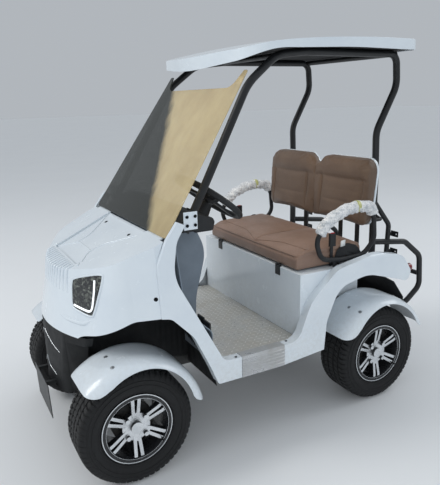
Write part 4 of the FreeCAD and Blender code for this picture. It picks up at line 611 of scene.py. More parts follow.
def seated(tree, starts, direction, lift=0.0, reach=0.5):
    """Where rays from the starts first meet the surface, raised by lift against the rays; and the normals.
    A ray that misses gives way to its neighbour's hit."""
    direction = Vector(unit(np.asarray(direction, float)))
    spots, normals = [], []
    for point in starts:
        hit, normal, index, length = tree.ray_cast(Vector(point), direction, reach)
        if hit is None:
            spots.append([np.nan] * 3)
            normals.append([np.nan] * 3)
            continue
        if normal.dot(direction) > 0:
            normal = -normal
        spots.append(hit + normal * lift)
        normals.append(normal)
    spots, normals = np.array(spots, float), np.array(normals, float)
    good = ~np.isnan(spots[:, 0])
    index = np.arange(len(spots))
    nearest = index[good][np.abs(index[:, None] - index[good][None]).argmin(1)]
    return spots[nearest], normals[nearest]


def screw(spot, normal, radius, height, washer):
    """Button head with a socket in it, on a washer: (radius, height) of its profile, turned."""
    return turned([(0, -1), (washer, -1), (washer, 0.8), (radius, 0.8), (radius, 1.2),
                   (radius * 0.86, height * 0.8), (radius * 0.5, height), (radius * 0.42, height),
                   (radius * 0.38, height * 0.4), (0, height * 0.35)], spot, normal, 18)


# Nodes whose shape stays as it is

FINISH_OF = {"roof_liner": dark_liner, "step_trims": ribbed_trim, "front_plate": plate_paint,
             "pillar_brackets": white_gloss, "front_bumper": arch_mould}
EDGE_OF = {"floor_plate": 0, "battery_pack": 0.003, "step_trims": 0.0004, "windshield": 0.0015}
FENDERS = (
    # node, hand, axle, first and last angle above level behind the axle
    ("front_fender_left", 1, 0, 12, 134), ("front_fender_right", -1, 0, 12, 134),
    ("rear_fender_left", 1, WHEELBASE, 22, 151), ("rear_fender_right", -1, WHEELBASE, 22, 151),
)
WHEELS = (("front_left", 1, 0), ("front_right", -1, 0),
          ("rear_left", 1, WHEELBASE), ("rear_right", -1, WHEELBASE))
REPLACED = {"seat_cushion", "seat_backs", "armrest_wraps", "headlights"}
REPLACED |= {row[0] for row in FENDERS} | {"tyre_" + row[0] for row in WHEELS}
for node in frame["nodes"]:
    if node not in REPLACED:
        skin(node, FINISH_OF.get(node), EDGE_OF.get(node, 0.0008))


# Fenders

FENDER_CROWN = 0.286
FENDER_WALL = 0.0036
END_ROUND = 0.062
INNER_ROUND = 0.016
LIP_RISE = 0.024
# (x, angle from straight up) of each bolt, in millimetres and degrees
FRONT_BOLTS = ((372, -15), (463, -16), (332, 26), (392, 30))
REAR_BOLTS = ((412, -30), (479, -29), (412, 30), (479, 29))


def fender_points(hand, axle, first, last):
    """Guard over a wheel: a section of (x, radius) corners rounded off, turned about the axle. The first and
    last angle give way near the outer lip by R - sqrt(R^2 - (R - d)^2), R = 62 mm, so the ends are round,
    and over the wheel the lip rises by 24 mm sin(pi share)."""
    corners = [(300, 280, 0), (322, 285.4, 0), (455, 285.8, 0), (494, 276, 0), (514, 258, 0), (520.6, 239, 0)]
    section = rounded(np.array(corners) / 1000, [0, 0.02, 0.03, 0.03, 0.02, 0])
    x, radius = section[:, 0], section[:, 1]
    run = np.concatenate([[0], np.cumsum(np.hypot(np.diff(x), np.diff(radius)))])
    back = 0
    for reach, from_edge in ((END_ROUND, run[-1] - run), (INNER_ROUND, run)):
        back = back + reach - np.sqrt(reach ** 2 - np.clip(reach - from_edge, 0, reach) ** 2)
    give = np.degrees(back / FENDER_CROWN)
    share = np.linspace(0, 1, 90)[:, None]
    angle = np.radians(first + give + share * (last - first - 2 * give))
    shorter = run * (1 - LIP_RISE * np.sin(np.pi * np.minimum(share * 1.08, 1)) / run[-1])
    x, radius = np.interp(shorter, run, x), np.interp(shorter, run, radius)
    points = np.stack([x * hand, radius * np.cos(angle), radius * np.sin(angle)], -1)
    return points + at(0, axle, TYRE_RADIUS)


for node, hand, axle, first, last in FENDERS:
    points = fender_points(hand, axle, first, last)
    fender = formed(node + "_moulding", [points], white_gloss, node, 0, close_v=False)
    mesh = fender.data
    crown = mesh.polygons[len(mesh.polygons) // 2]
    if (crown.center - Vector(at(crown.center.x * 1000, axle, TYRE_RADIUS))).dot(crown.normal) < 0:
        mesh.flip_normals()
    thicken(fender, FENDER_WALL)
    edge_round(fender, 0.0009, 60)
    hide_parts(node)
    heads = []
    for x, lean in REAR_BOLTS if axle else FRONT_BOLTS:
        away = np.array((0, math.sin(math.radians(lean)), math.cos(math.radians(lean))))
        start = at(hand * x, axle, TYRE_RADIUS) + away * 0.36
        spots, normals = seated(surface_of(mesh), [start], -away, 0.0, 0.2)
        heads.append(screw(spots[0], normals[0], 5, 3, 8))
    formed(node + "_bolts", heads, zinc, node)


# Tyres

def tyre_points():
    """Half profile of a road tyre from its bead over the sidewall to the tread's middle, mirrored, then
    turned: radius(x, angle) = profile(x) less the depth of a slot where the angle, sheared along x,
    falls in the first of the steps of a tread pitch."""
    half = np.array([
        # x, radius, slot depth, place of the slot in its pitch
        (70, 141, 0, 0), (76, 143, 0, 0), (80, 148, 0, 0), (83, 149, 0, 0), (85, 152, 0, 0), (84, 155, 0, 0),
        (88, 162, 0, 0), (90, 172, 0, 0), (90.4, 179, 0, 0), (92.6, 180, 0, 0), (92.6, 183, 0, 0),
        (90.6, 184, 0, 0), (90.2, 195, 0, 0), (92.2, 197, 0, 0), (91.8, 200, 0, 0), (89.4, 201, 0, 0),
        (89.2, 205, 3.5, 0), (86, 214, 5, 0), (82, 220, 6, 0),
        (78, 224.5, 6, 0), (72, 227.4, 6, 0), (64, 228.6, 6, 0), (54.4, 229.1, 5, 0), (53.8, 223, 0, 0),
        (46.2, 223, 0, 0), (45.6, 229.3, 4, 2), (38, 229.4, 4, 2), (30, 229.4, 4, 2), (22.4, 229.5, 4, 2),
        (21.8, 223, 0, 0), (14.2, 223, 0, 0), (13.6, 229.5, 3, 1), (6, 229.5, 3, 1), (0, 229.5, 3, 1),
    ])
    pitches, steps = 58, 5
    profile = np.concatenate([half, half[-2::-1] * (-1, 1, 1, 1)])
    width = np.abs(profile[:, 0])
    shear = np.clip(width - 8, 0, 60) / 60 * 0.11
    shear = np.where(width > 88, shear[width.argmax()], shear)
    count = np.arange(pitches * steps)
    slot = ((count[None] + profile[:, 3, None]) % steps) == 0
    radius = profile[:, 1, None] - profile[:, 2, None] * slot
    turn = (count * 2 * np.pi / (pitches * steps))[None] + shear[:, None]
    x = np.broadcast_to(profile[:, 0, None], radius.shape)
    return np.stack([x, radius * np.cos(turn), radius * np.sin(turn)], -1) / 1000


VALVE = [(0, 0), (4, 0), (4, 6), (2.8, 9), (2.8, 20), (3.6, 21), (3.6, 27), (0, 28)]
tyre_grid = tyre_points()
for name, hand, axle in WHEELS:
    points = tyre_grid * (hand, 1, 1) + at(hand * HALF_TRACK, axle, TYRE_RADIUS)
    tyre = formed("road_tyre_" + name, [points], rubber, "tyre_" + name, 28)
    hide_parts("tyre_" + name)
    valve = turned(VALVE, at(hand * 462, axle + 96, TYRE_RADIUS - 74), (hand, 0, 0), 12)
    formed("tyre_valve_" + name, [valve], rubber, "tyre_" + name, 40)


# Cushion and seat backs

CLOTH = {
    "quality": 5, "mass": 0.3, "tension_stiffness": 18, "compression_stiffness": 18, "shear_stiffness": 8,
    "bending_stiffness": 2, "use_pressure": True, "uniform_pressure_force": 4, "vertex_group_mass": "hold",
}
CLOTH_FRAMES = 20
VOXEL = 0.006
SEAM_DEPTH = 0.006
PUCKER = 0.0009


def evaluated(thing, name):
    """The object's mesh with its modifiers applied."""
    graph = bpy.context.evaluated_depsgraph_get()
    mesh = bpy.data.meshes.new_from_object(thing.evaluated_get(graph), depsgraph=graph)
    mesh.name = name
    return mesh


def remeshed(name, mesh):
    """The mesh rebuilt with even small faces."""
    source = bpy.data.objects.new(name + "_source", mesh)
    bpy.context.scene.collection.objects.link(source)
    modifier = source.modifiers.new("even", "REMESH")
    modifier.mode = "VOXEL"
    modifier.voxel_size = VOXEL
    result = evaluated(source, name)
    bpy.data.objects.remove(source)
    return result


def swollen(name, mesh, hold, cap):
    """Foam pressed against its cover: cloth blown up from inside, held where hold is 1, with how far a point
    may move capped at cap metres."""
    before = coordinates(mesh)
    thing = bpy.data.objects.new(name + "_cloth", mesh)
    bpy.context.scene.collection.objects.link(thing)
    pins = thing.vertex_groups.new(name="hold")
    for level in np.unique(np.round(hold, 1)):
        if level > 0:
            pins.add(np.nonzero(np.round(hold, 1) == level)[0].tolist(), float(level), "REPLACE")
    cloth = thing.modifiers.new("cloth", "CLOTH")
    for key, value in CLOTH.items():
        setattr(cloth.settings, key, value)
    cloth.settings.effector_weights.gravity = 0
    cloth.collision_settings.use_collision = False
    cloth.point_cache.frame_start = 1
    cloth.point_cache.frame_end = CLOTH_FRAMES
    for count in range(1, CLOTH_FRAMES + 1):
        bpy.context.scene.frame_set(count)
    blown = evaluated(thing, name)
    bpy.context.scene.frame_set(1)
    move = coordinates(blown) - before
    bpy.data.objects.remove(thing)
    far = np.linalg.norm(move, axis=1, keepdims=True)
    put(mesh, before + move * np.minimum(1, cap / np.maximum(far, 1e-9)))


def near_line(points, line):
    """Distance of each point from the nearest sample of a line."""
    best = np.full(len(points), 9.0)
    for first in range(0, len(line), 64):
        part = line[first:first + 64]
        best = np.minimum(best, np.linalg.norm(points[:, None] - part[None], axis=2).min(1))
    return best


def cushioned(name, node, own_box, new_box, seams, cap, material, stuck, keep=None):
    """A stuffed form: the CAD solid, or its half on the side that keep names, fitted to a new box, blown up
    by cloth between its seams and away from where it is stuck down, with the seams sunk and small puckers
    across them: height = -6 mm exp(-(d/7mm)^2) + 0.9 mm sin(2 pi s/23mm) exp(-d/18mm)."""
    mesh = frame["nodes"][node].data.copy()
    if keep is not None:
        work = bmesh.new()
        work.from_mesh(mesh)
        bmesh.ops.remove_doubles(work, verts=work.verts, dist=2e-6)
        spare = [vertex for vertex in work.verts if keep * vertex.co.x < 0]
        bmesh.ops.delete(work, geom=spare, context="VERTS")
        work.to_mesh(mesh)
        work.free()
    share = (coordinates(mesh) - own_box[0]) / (own_box[1] - own_box[0])
    put(mesh, new_box[0] + share * (new_box[1] - new_box[0]))
    mesh = remeshed(name, mesh)
    points = coordinates(mesh)
    distance = np.full(len(points), 9.0)
    for seam in seams:
        distance = np.minimum(distance, near_line(points, seam))
    hold = np.exp(-(distance / 0.009) ** 2)
    hold[distance > 0.02] = 0
    hold[stuck(points)] = 1
    swollen(name, mesh, hold, cap)
    points = coordinates(mesh)
    normals = np.empty(len(points) * 3, np.float32)
    mesh.vertex_normals.foreach_get("vector", normals)
    normals = normals.reshape(-1, 3)
    run = points @ np.array((1.0, 0.6, 0.8))
    relief = -SEAM_DEPTH * np.exp(-(distance / 0.007) ** 2)
    relief += PUCKER * np.sin(run * 2 * np.pi / 0.023) * np.exp(-distance / 0.018)
    put(mesh, points + normals * relief[:, None])
    settle(mesh, 0)
    thing = piece(name, mesh, material, node)
    smooth = thing.modifiers.new("smooth", "SUBSURF")
    smooth.levels = smooth.render_levels = 1
    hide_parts(node)
    return surface_of(thing.data)


def welt(name, node, line, direction, tree, radius, material):
    """Piping laid on a surface along a line: a thin tube half sunk in what the rays meet."""
    away = -unit(np.asarray(direction, float))
    spots, normals = seated(tree, line + away * 0.12, direction, radius * 0.35, 0.3)
    smooth = [np.convolve(np.pad(spots[:, i], 2, "edge"), np.ones(5) / 5, "valid") for i in range(3)]
    tube(name, np.stack(smooth, 1), radius, material, node, sides=8, upward=tuple(away + (0.01, 0.02, 0)))


def under_edge(points):
    """The cover's lower edge, which is pulled round the board."""
    return points[:, 2] < 0.714


def behind(points):
    """The rear of a back, which is glued into its shell."""
    return points[:, 1] > at(0, 1236, 0)[1]


cushion_seams = {
    "centre": places((40, 792, 762), (38, 800, 789), (30, 960, 789), (24, 1162, 789)),
    "left": places((40, 806, 789), (210, 858, 789), (388, 866, 789)),
    "right": places((38, 806, 789), (-130, 858, 789), (-388, 866, 789)),
    "front": places((-390, 806, 760), (-380, 794, 758), (0, 793, 756), (380, 794, 758), (390, 806, 760)),
    "near": places((391, 806, 760), (392, 960, 760), (391, 1150, 760)),
    "far": places((-391, 806, 760), (-392, 960, 760), (-391, 1150, 760)),
}
cushion_lines = {name: rounded(line, 0.02) for name, line in cushion_seams.items()}
cushion_tree = cushioned("bench_cushion", "seat_cushion", np.array(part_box("seat_cushion")),
                         places((-394, 793, 701), (394, 1159, 783)), cushion_lines.values(), 0.015,
                         vinyl_painted_light, under_edge)
for name in ("centre", "left", "right"):
    line = cushion_lines[name]
    line = line[line[:, 2] > 0.78]
    welt("cushion_welt_" + name, "seat_cushion", line, DOWN, cushion_tree, 0.0016, vinyl_painted_light)
line = cushion_lines["front"][6:-6]
welt("cushion_piping_front", "seat_cushion", line, REARWARD, cushion_tree, 0.0026, vinyl_painted_light)

low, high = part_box("seat_backs")
for side, hand in SIDES:
    lines = {
        "inner": [(hand * 60, 1162, 850), (hand * 60, 1179, 950), (hand * 60, 1196, 1050)],
        "outer": [(hand * 352, 1162, 850), (hand * 352, 1179, 950), (hand * 352, 1196, 1050)],
        "fold": [(hand * 8, 1184, 1050), (hand * 200, 1184, 1050), (hand * 390, 1184, 1050)],
    }
    lines = {name: rounded(places(*points), 0.02) for name, points in lines.items()}
    own_box = np.sort(places((hand * 6, 0, 848), (hand * 394, 0, 1154)), 0)
    own_box[:, 1] = low[1], high[1]
    new_box = np.sort(places((hand * 1, 1172, 844), (hand * 394, 1252, 1154)), 0)
    tree = cushioned(f"seat_back_{side}", "seat_backs", own_box, new_box, lines.values(), 0.013, vinyl_painted_shade,
                     behind, hand)
    for name in ("inner", "outer"):
        welt(f"back_welt_{side}_{name}", "seat_backs", lines[name], REARWARD, tree, 0.0016, vinyl_painted_shade)


# Armrest wraps

ARM_X = 422
FILM_RADIUS = 0.0246
TUBE_INSIDE = 0.0118
FILM_ROW = 0.0105
wrap_line = rounded(places((ARM_X, 1198, 911), (ARM_X, 1184, 950), (ARM_X, 1060, 958), (ARM_X, 938, 912),
                           (ARM_X, 893, 852)), [0, 0.045, 0.1, 0.08, 0], 0.0035)


def wrap_points(line, sides=48):
    """Film round a line: radius 24.6 mm with bubbles in staggered rows 10.5 mm apart, loose folds and a
    wandering outline; its ends turn in onto the tube."""
    count = len(line)
    run = np.linspace(0, 1, count)[:, None]
    angle = np.linspace(0, 2 * np.pi, sides, endpoint=False)[None]
    row = run * np.linalg.norm(np.diff(line, axis=0), axis=1).sum() / FILM_ROW
    bubble = np.abs(np.sin(np.pi * row)) * np.abs(np.sin(7 * angle + np.pi * np.floor(row) / 2))
    folds = 0.0018 * np.sin(3 * angle + 9 * np.pi * run) + 0.0016 * np.sin(5 * angle - 23 * np.pi * run + 1.3)
    lumps = rng.normal(0, 0.00055, (count, sides))
    radius = FILM_RADIUS + 0.0017 * bubble + folds + lumps
    radius[:2] *= np.array((0.66, 0.9))[:, None]
    radius[-2:] *= np.array((0.9, 0.66))[:, None]
    across = unit(np.cross(unit(np.gradient(line, axis=0)), (1.0, 0.0, 0.0)))
    ring = np.cos(angle)[..., None] * np.array((1.0, 0, 0)) + np.sin(angle)[..., None] * across[:, None]
    points = line[:, None] + radius[..., None] * ring
    inner = TUBE_INSIDE / radius[[0, -1]][..., None]
    ends = line[[0, -1], None] + (points[[0, -1]] - line[[0, -1], None]) * inner
    return np.concatenate([ends[:1], points, ends[1:]])


for side, hand in SIDES:
    film = wrap_points(wrap_line * (hand, 1, 1))
    wrap = formed("armrest_film_" + side, [film], bubble_wrap, "armrest_wraps", 0)
    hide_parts("armrest_wraps")
    band = places((hand * ARM_X, 1104, 956), (hand * ARM_X, 1098, 957), (hand * ARM_X, 1092, 957))
    tube("wrap_tape_" + side, rounded(band, 0.002, 0.002), 0.0272, yellow_tape, "armrest_wraps", sides=32,
         upward=(1, 0, 0))


# Headlights

# corners of the lens: upper inner, upper outer, lower outer, lower inner
LAMP = places((205, -133, 780), (355, -58, 825), (337, -95, 655), (233, -155, 675))
LAMP_OUT = unit(np.cross(LAMP[1] - LAMP[0], LAMP[3] - LAMP[0]))
LAMP_OUT *= -np.sign(LAMP_OUT[1])
LENS_EDGE = 0.09
nose_tree = surface_of("front_body")


def on_nose(u, v):
    """The nose's face beside the lens's opening, at a place of the flat quad between its corners: u runs
    outward, v down."""
    u, v = u[:, None], v[:, None]
    flat = (1 - v) * ((1 - u) * LAMP[0] + u * LAMP[1]) + v * ((1 - u) * LAMP[3] + u * LAMP[2])
    return seated(nose_tree, flat + LAMP_OUT * 0.12, -LAMP_OUT, 0.0, 0.3)[0]


def lamp_patch(edge, count=25):
    """Curved lens: the Coons patch S = ruled(u) + ruled(v) - bilinear(corners) between four lines that lie on
    the nose just outside the opening, so the lens carries on the nose's curve. Returns a function of u, v."""
    t = np.linspace(-edge, 1 + edge, count)
    low, high = np.full(count, -edge), np.full(count, 1 + edge)
    sides = [on_nose(t, low), on_nose(t, high), on_nose(low, t), on_nose(high, t)]
    for line in sides:
        line[:] = np.stack([np.polyval(np.polyfit(t, line[:, i], 3), t) for i in range(3)], 1)
    top, bottom, near, far = sides

    def pick(line, where):
        return np.stack([np.interp(where, t, line[:, i]) for i in range(3)], -1)

    def patch(u, v):
        su, sv = ((run + edge)[..., None] / (1 + 2 * edge) for run in (u, v))
        ruled = (1 - sv) * pick(top, u) + sv * pick(bottom, u) + (1 - su) * pick(near, v) + su * pick(far, v)
        upper = (1 - su) * top[0] + su * top[-1]
        lower = (1 - su) * bottom[0] + su * bottom[-1]
        return ruled - ((1 - sv) * upper + sv * lower)
    return patch


def lens_square(a, b, half):
    """Rounded outline: u = half a sqrt(1 - 0.16 b^4), v = half b sqrt(1 - 0.16 a^4) draw the corners of the
    square in."""
    return 0.5 + half * a * np.sqrt(1 - 0.16 * b ** 4), 0.5 + half * b * np.sqrt(1 - 0.16 * a ** 4)


patch = lamp_patch(LENS_EDGE)
side_run = np.linspace(-1, 1, 41)
lens_face = patch(*lens_square(*np.meshgrid(side_run, side_run, indexing="ij"), 0.51)) - LAMP_OUT * 0.001
turn = np.linspace(0, 2 * np.pi, 96, endpoint=False)
square = [np.clip(round_the(turn) * 1.4142, -1, 1) for round_the in (np.cos, np.sin)]
ring = patch(*lens_square(*square, 0.515))
# (u, v) of the light guide's J, from its upper outer end
track = np.array([(0.77, 0.13, 0), (0.84, 0.45, 0), (0.885, 0.76, 0), (0.87, 0.86, 0), (0.78, 0.905, 0),
                  (0.60, 0.905, 0), (0.36, 0.90, 0), (0.09, 0.88, 0)])
track = rounded(track, 0.05, 0.02)
guide = patch(track[:, 0], track[:, 1]) + LAMP_OUT * 0.0005
for side, hand in SIDES:
    mirror = (hand, 1, 1)
    upward = tuple(LAMP_OUT * mirror)
    cover = formed("headlight_lens_" + side, [lens_face * mirror], lens, "headlights", 0, close_v=False)
    thicken(cover, 0.006, 0)
    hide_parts("headlights")
    tube("headlight_rim_" + side, ring * mirror, 0.0046, white_gloss, "headlights", "white_body", sides=10,
         upward=upward, closed=True)
    tube("light_guide_" + side, guide * mirror, 0.0048, strip_light, "headlights", upward=upward)


# Ribs, screws and trims on the body

BROW = (-60, 720)
RIB_STEPS = 30
NOSE_CREASES = (((196, -106), (92, -34), (98, 30), (186, 116), (238, 162)), ((92, -24), (40, -22), (0, -22)))
SWOOSH = ((130, 634), (200, 622), (295, 622), (338, 650))
BUMPER_STRIPS = (((6, 521), (41, 502), (85, 477), (146, 462)), ((5, 398), (15, 378), (36, 359), (96, 344)))
STEP_SCREWS = ((451, 698, "quarter_panel_left"), (469, 436, "side_cowl_left"))


def brow_line(xs, angles):
    """Points on the nose's brow, met by rays at a line inside it: angle 0 is from above, 90 from ahead."""
    spots = []
    for x, angle in zip(xs, np.radians(angles)):
        away = np.array((0, -math.sin(angle), math.cos(angle)))
        spots.append(seated(nose_tree, [at(x, *BROW) + away * 0.3], -away, 0.0, 0.4)[0][0])
    return np.array(spots)


ribs = []
count = np.arange(RIB_STEPS)
fade = np.clip(np.minimum((count + 1) / 3, (RIB_STEPS - 1 - count) / 16), 0, 1)
for x in np.linspace(-168, 168, 14):
    xs = x * (1 + 0.12 * np.linspace(0, 1, RIB_STEPS) ** 2)
    line = brow_line(xs, np.linspace(29, 88, RIB_STEPS))
    outward = unit(line - at(x, *BROW))
    ribs.append(swept(line + outward * (0.0045 * fade - 0.0035)[:, None], 0.0058, 10, (0, -1, 0.2)))
formed("nose_ribs", ribs, white_gloss, "front_body", 60)

creases, screws, strips = [], [], []
bumper_tree = surface_of("front_bumper")
plate_tree = surface_of("pillar_brackets")
low, high = np.array(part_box("pillar_brackets"))
for hand in (1, -1):
    for corners in NOSE_CREASES:
        flat = rounded(places(*[(hand * x, station, 1100) for x, station in corners]), 0.03, 0.006)
        spots, normals = seated(nose_tree, flat, DOWN, 0.0, 0.6)
        creases.append(swept(spots - normals * 0.0008, 0.0042, 10, (0, 0.02, 1)))
    swoosh = rounded(places(*[(hand * x, -330, z) for x, z in SWOOSH]), 0.03, 0.006)
    spots, normals = seated(nose_tree, swoosh, REARWARD, 0.0, 0.6)
    thick = np.interp(np.linspace(0, 1, len(spots)), (0, 0.25, 0.8, 1), (0.001, 0.007, 0.010, 0.001))
    creases.append(swept(spots - normals * 0.0035, thick, 12, (0, -1, 0.1)))

    for spot, direction in ((at(hand * 150, 124, 1100), DOWN), (at(hand * 620, 110, 722), (-hand, 0, 0))):
        spots, normals = seated(nose_tree, [spot], direction, 0.0, 0.6)
        screws.append(screw(spots[0], normals[0], 5, 2.8, 8))
    for x, station, node in STEP_SCREWS:
        spots, normals = seated(surface_of(node), [at(x, station, 470)], DOWN, 0.0, 0.2)
        screws.append(screw(spots[0] * (hand, 1, 1), normals[0] * (hand, 1, 1), 4.5, 2.4, 6))
    for share_y in (0.2, 0.8):
        for share_z in (0.25, 0.75):
            spot = low + np.array((0, share_y, share_z)) * (high - low)
            spot[0] = hand * 0.6
            hit = plate_tree.ray_cast(Vector(spot), Vector((-hand, 0, 0)), 0.3)[0]
            if hit is not None:
                screws.append(screw(np.array(hit), np.array((hand, 0, 0)), 4.5, 3.2, 6.5))

    for corners in BUMPER_STRIPS:
        flat = rounded(places(*[(hand * x, -420, z) for x, z in corners]), 0.02, 0.006)
        spots, normals = seated(bumper_tree, flat, REARWARD, 0.0004, 0.6)
        strips.append(swept(spots, 0.0018, 8, (0.01, -0.2, 1)))
formed("nose_creases", creases, white_gloss, "front_body", 60)
formed("body_screws", screws, black_screw, "chassis_frame")
formed("bumper_strips", strips, bright_trim, "front_bumper", 60)


# Inner wheel-arch liners, black and ribbed, beside and behind the front wheels

def liner_grids(hand):
    """Two sheets, each (x, station, z) in millimetres over rise and run in 0 to 1, with nine low ribs: beside
    the wheel z = 342 + 270 rise - 20 run^4; behind it z = 290 + (300 - 110 run) rise, which is lower
    towards the outside and leaves room for the steered fender. Behind the wheel the sheet also stands for the
    shadow under the floor: painted shade, black where the pale floor would show."""
    rise, run = np.meshgrid(np.linspace(0, 1, 25), np.linspace(0, 1, 60), indexing="ij")
    rib = 2 * np.sin(run * 2 * np.pi * 9) ** 6
    beside = (hand * (178 + rib), -96 + 458 * run, 342 + 270 * rise - 20 * run ** 4)
    behind_it = (hand * (170 + 266 * run), 360 - 34 * rise + rib, 290 + (300 - 110 * run) * rise)
    return [(np.stack(sheet, -1) + (0, FRONT_AXLE, 0)) / 1000 for sheet in (beside, behind_it)]


liners = liner_grids(1) + liner_grids(-1)
# painted shade: the black sheet behind each wheel also covers the floor where the shadow under the cart falls
liner = formed("arch_liners_and_painted_shade", liners, arch_mould, "chassis_frame", 40, close_v=False)
thicken(liner, 0.002)


# Chequered floor: pairs of low lens-shaped bars, set at right angles to the next pair

BAR_PITCH = 24


def chequer():
    """Bars on the floor: an 8-sided low lens 20 x 5 x 1.3 mm, copied to a grid, turned +45 or -45 degrees."""
    angle = np.linspace(0, 2 * np.pi, 8, endpoint=False)
    rim = np.stack([np.cos(angle) * 10, np.sin(angle) * 2.6, np.zeros(8) - 0.2], 1)
    crown = np.stack([np.cos(angle) * 6, np.sin(angle) * 1.1, np.zeros(8) + 1.3], 1)
    bar = np.concatenate([rim, crown, [[0, 0, 1.35]]])
    low, high = np.array(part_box("floor_plate")) * 1000
    columns = np.arange(low[0] + 14, high[0] - 12, BAR_PITCH)
    lines = np.arange(low[1] + 14, high[1] - 12, BAR_PITCH)
    x, y = (part.ravel() for part in np.meshgrid(columns, lines))
    odd = sum(np.round(far / BAR_PITCH).astype(int) for far in (x - low[0], y - low[1])) % 2
    turn = np.where(odd, np.pi / 4, -np.pi / 4)
    cos, sin = np.cos(turn)[:, None], np.sin(turn)[:, None]
    px = x[:, None] + bar[None, :, 0] * cos - bar[None, :, 1] * sin
    py = y[:, None] + bar[None, :, 0] * sin + bar[None, :, 1] * cos
    pz = np.broadcast_to(high[2] + bar[None, :, 2], px.shape)
    points = np.stack([px, py, pz], -1).reshape(-1, 3) / 1000
    i = np.arange(8)
    j = (i + 1) % 8
    sides = np.concatenate([np.stack([i, j, j + 8], 1), np.stack([i, j + 8, i + 8], 1),
                            np.stack([i + 8, j + 8, np.full(8, 16)], 1)])
    faces = (sides[None] + (np.arange(len(x)) * len(bar))[:, None, None]).reshape(-1, 3)
    mesh = mesh_from("chequer", points, faces)
    mesh.shade_smooth()
    piece("floor_chequer", mesh, tread_bars, "floor_plate")


chequer()


# Belt buckle's button, webbing and tag

# each belt's (x, station, height) on the left, and its width in millimetres
BELTS = {
    "upper": (((404, 1150, 708), (402, 1120, 752), (404, 1070, 770), (402, 1030, 752), (405, 1012, 712)), 40),
    "loop": (((409, 1105, 706), (407, 1085, 742), (409, 1050, 756), (406, 1020, 736), (409, 1000, 704)), 34),
}
BELT_HALF = 0.0012
BUTTON = [(0, 0), (5.6, 0), (5.6, 2.4), (4.4, 3.4), (0, 3.6)]

for side, hand in SIDES:
    foot = at(hand * 404, 980, 845)
    button = foot + (turned(BUTTON, foot, (0, 0, 1), 24) - foot) * (0.9, 2.2, 1)
    formed("buckle_button_" + side, [button], red_button, "belt_buckles", 30)
for side, hand in SIDES:
    for name, (corners, wide) in BELTS.items():
        # an oval section as wide as the belt and 2.4 mm thick
        line = rounded(places(*corners) * (hand, 1, 1), 0.012)
        tube(f"belt_{side}_{name}", line, BELT_HALF, belt_cloth, "belt_buckles", sides=16,
             upward=(hand, 0, 0.4), wide=wide / 2000 / BELT_HALF)
tag = places((402, 1030, 775), (402, 1056, 778), (402, 1032, 803), (402, 1058, 806)).reshape(2, 2, 3)
label = formed("belt_tag", [tag], tag_paper, "belt_buckles", 0, close_v=False)
thicken(label, 0.0012)


# Studio

LAMPS = (
    # name, place, target, size in metres, power in watts, colour, seen in reflections
    ("key", (-1.6, -4.6, 4.8), (0, 0, 0.6), 2.4, 120, (1.0, 0.99, 0.97), True),
    ("side", (4.6, -2.2, 1.7), (0, 0, 0.6), 3.2, 48, (0.97, 0.99, 1.0), False),
    ("cabin", (0.1, 0.1, 1.5), (0.05, -0.05, 0.4), 0.4, 3.4, (1.0, 0.99, 0.97), False),
    ("back", (0.8, 5.0, 4.4), (0, 0, 0.6), 3.0, 70, (0.95, 0.98, 1.0), True),
)


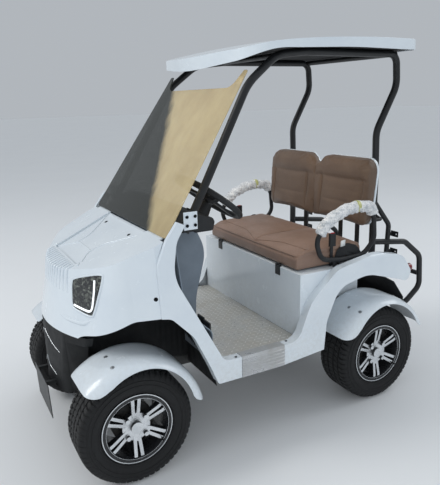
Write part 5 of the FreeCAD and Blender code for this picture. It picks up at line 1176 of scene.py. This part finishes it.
def studio():
    """Pale floor out to the horizon, an even soft sky, a key lamp from the front, a fill from the left, one
    under the roof and a back light."""
    mesh = grid_mesh("floor", [np.array([[(-60, -60, 0), (-60, 60, 0)], [(60, -60, 0), (60, 60, 0)]], float)])
    ground = bpy.data.objects.new("studio_floor", mesh)
    bpy.context.scene.collection.objects.link(ground)
    paint, tree, spot = new_surface("studio_floor_paint")
    patches = add(tree, "TexNoise", {"Scale": 1.2, "Detail": 3.0}, {"Vector": spot})
    colours = {"data_type": "RGBA", 6: linear("#E6E8EA"), 7: linear("#E2E4E6")}
    tone = add(tree, "Mix", colours, {0: patches}).outputs[2]
    gloss = add(tree, "MapRange", {1: 0.3, 2: 0.7, 3: 0.75, 4: 0.85}, {0: patches})
    shader = add(tree, "BsdfPrincipled", {}, {"Base Color": tone, "Roughness": gloss})
    add(tree, "OutputMaterial", {}, {"Surface": shader})
    mesh.materials.append(paint)
    world = bpy.data.worlds.new("studio")
    bpy.context.scene.world = world
    world.use_nodes = True
    tree = world.node_tree
    tree.nodes.clear()
    path = add(tree, "LightPath").outputs
    seen = path["Is Camera Ray"]
    for ray in ("Is Glossy Ray", "Is Transmission Ray"):
        seen = add(tree, "Math", {"operation": "MAXIMUM"}, {0: seen, 1: path[ray]}).outputs[0]
    ambient = add(tree, "Background", {"Color": (0.90, 0.95, 1.0, 1), "Strength": 0.64})
    shown = add(tree, "Background", {"Color": (0.44, 0.468, 0.50, 1), "Strength": 1.0})
    both = add(tree, "MixShader", {}, {0: seen, 1: ambient.outputs[0], 2: shown.outputs[0]})
    add(tree, "OutputWorld", {}, {0: both.outputs[0]})
    for name, spot, target, size, power, colour, glossy in LAMPS:
        light = bpy.data.lights.new(name, "AREA")
        light.size = size
        light.energy = power
        light.color = colour
        lamp = bpy.data.objects.new(name, light)
        lamp.location = spot
        lamp.rotation_euler = (Vector(target) - Vector(spot)).to_track_quat("-Z", "Y").to_euler()
        lamp.visible_glossy = glossy
        lamp.visible_camera = False
        bpy.context.scene.collection.objects.link(lamp)


studio()


# Camera, where the photograph's was: its place in metres, its right, up and forward directions, the
# photograph's width and the focal length in its pixels

CAMERA_PLACE = (2.2519, -1.2975, 1.4318)
CAMERA_RIGHT = Vector((0.48290509, 0.8753668, -0.02314405))
CAMERA_UP = Vector((-0.20891413, 0.14083594, 0.9677397))
CAMERA_AHEAD = Vector((-0.85038671, 0.4624913, -0.25088689))
PHOTO_WIDTH = 440
FOCAL_PIXELS = 550.7

optics = bpy.data.cameras.new("camera")
optics.sensor_fit = "HORIZONTAL"
optics.sensor_width = 36.0
optics.lens = FOCAL_PIXELS * 36 / PHOTO_WIDTH
camera = bpy.data.objects.new("camera", optics)
facing = Matrix((CAMERA_RIGHT, CAMERA_UP, -CAMERA_AHEAD)).transposed()
camera.matrix_world = Matrix.Translation(CAMERA_PLACE) @ facing.to_4x4()
bpy.context.scene.collection.objects.link(camera)
bpy.context.scene.camera = camera
bpy.context.scene.view_settings.view_transform = "Standard"
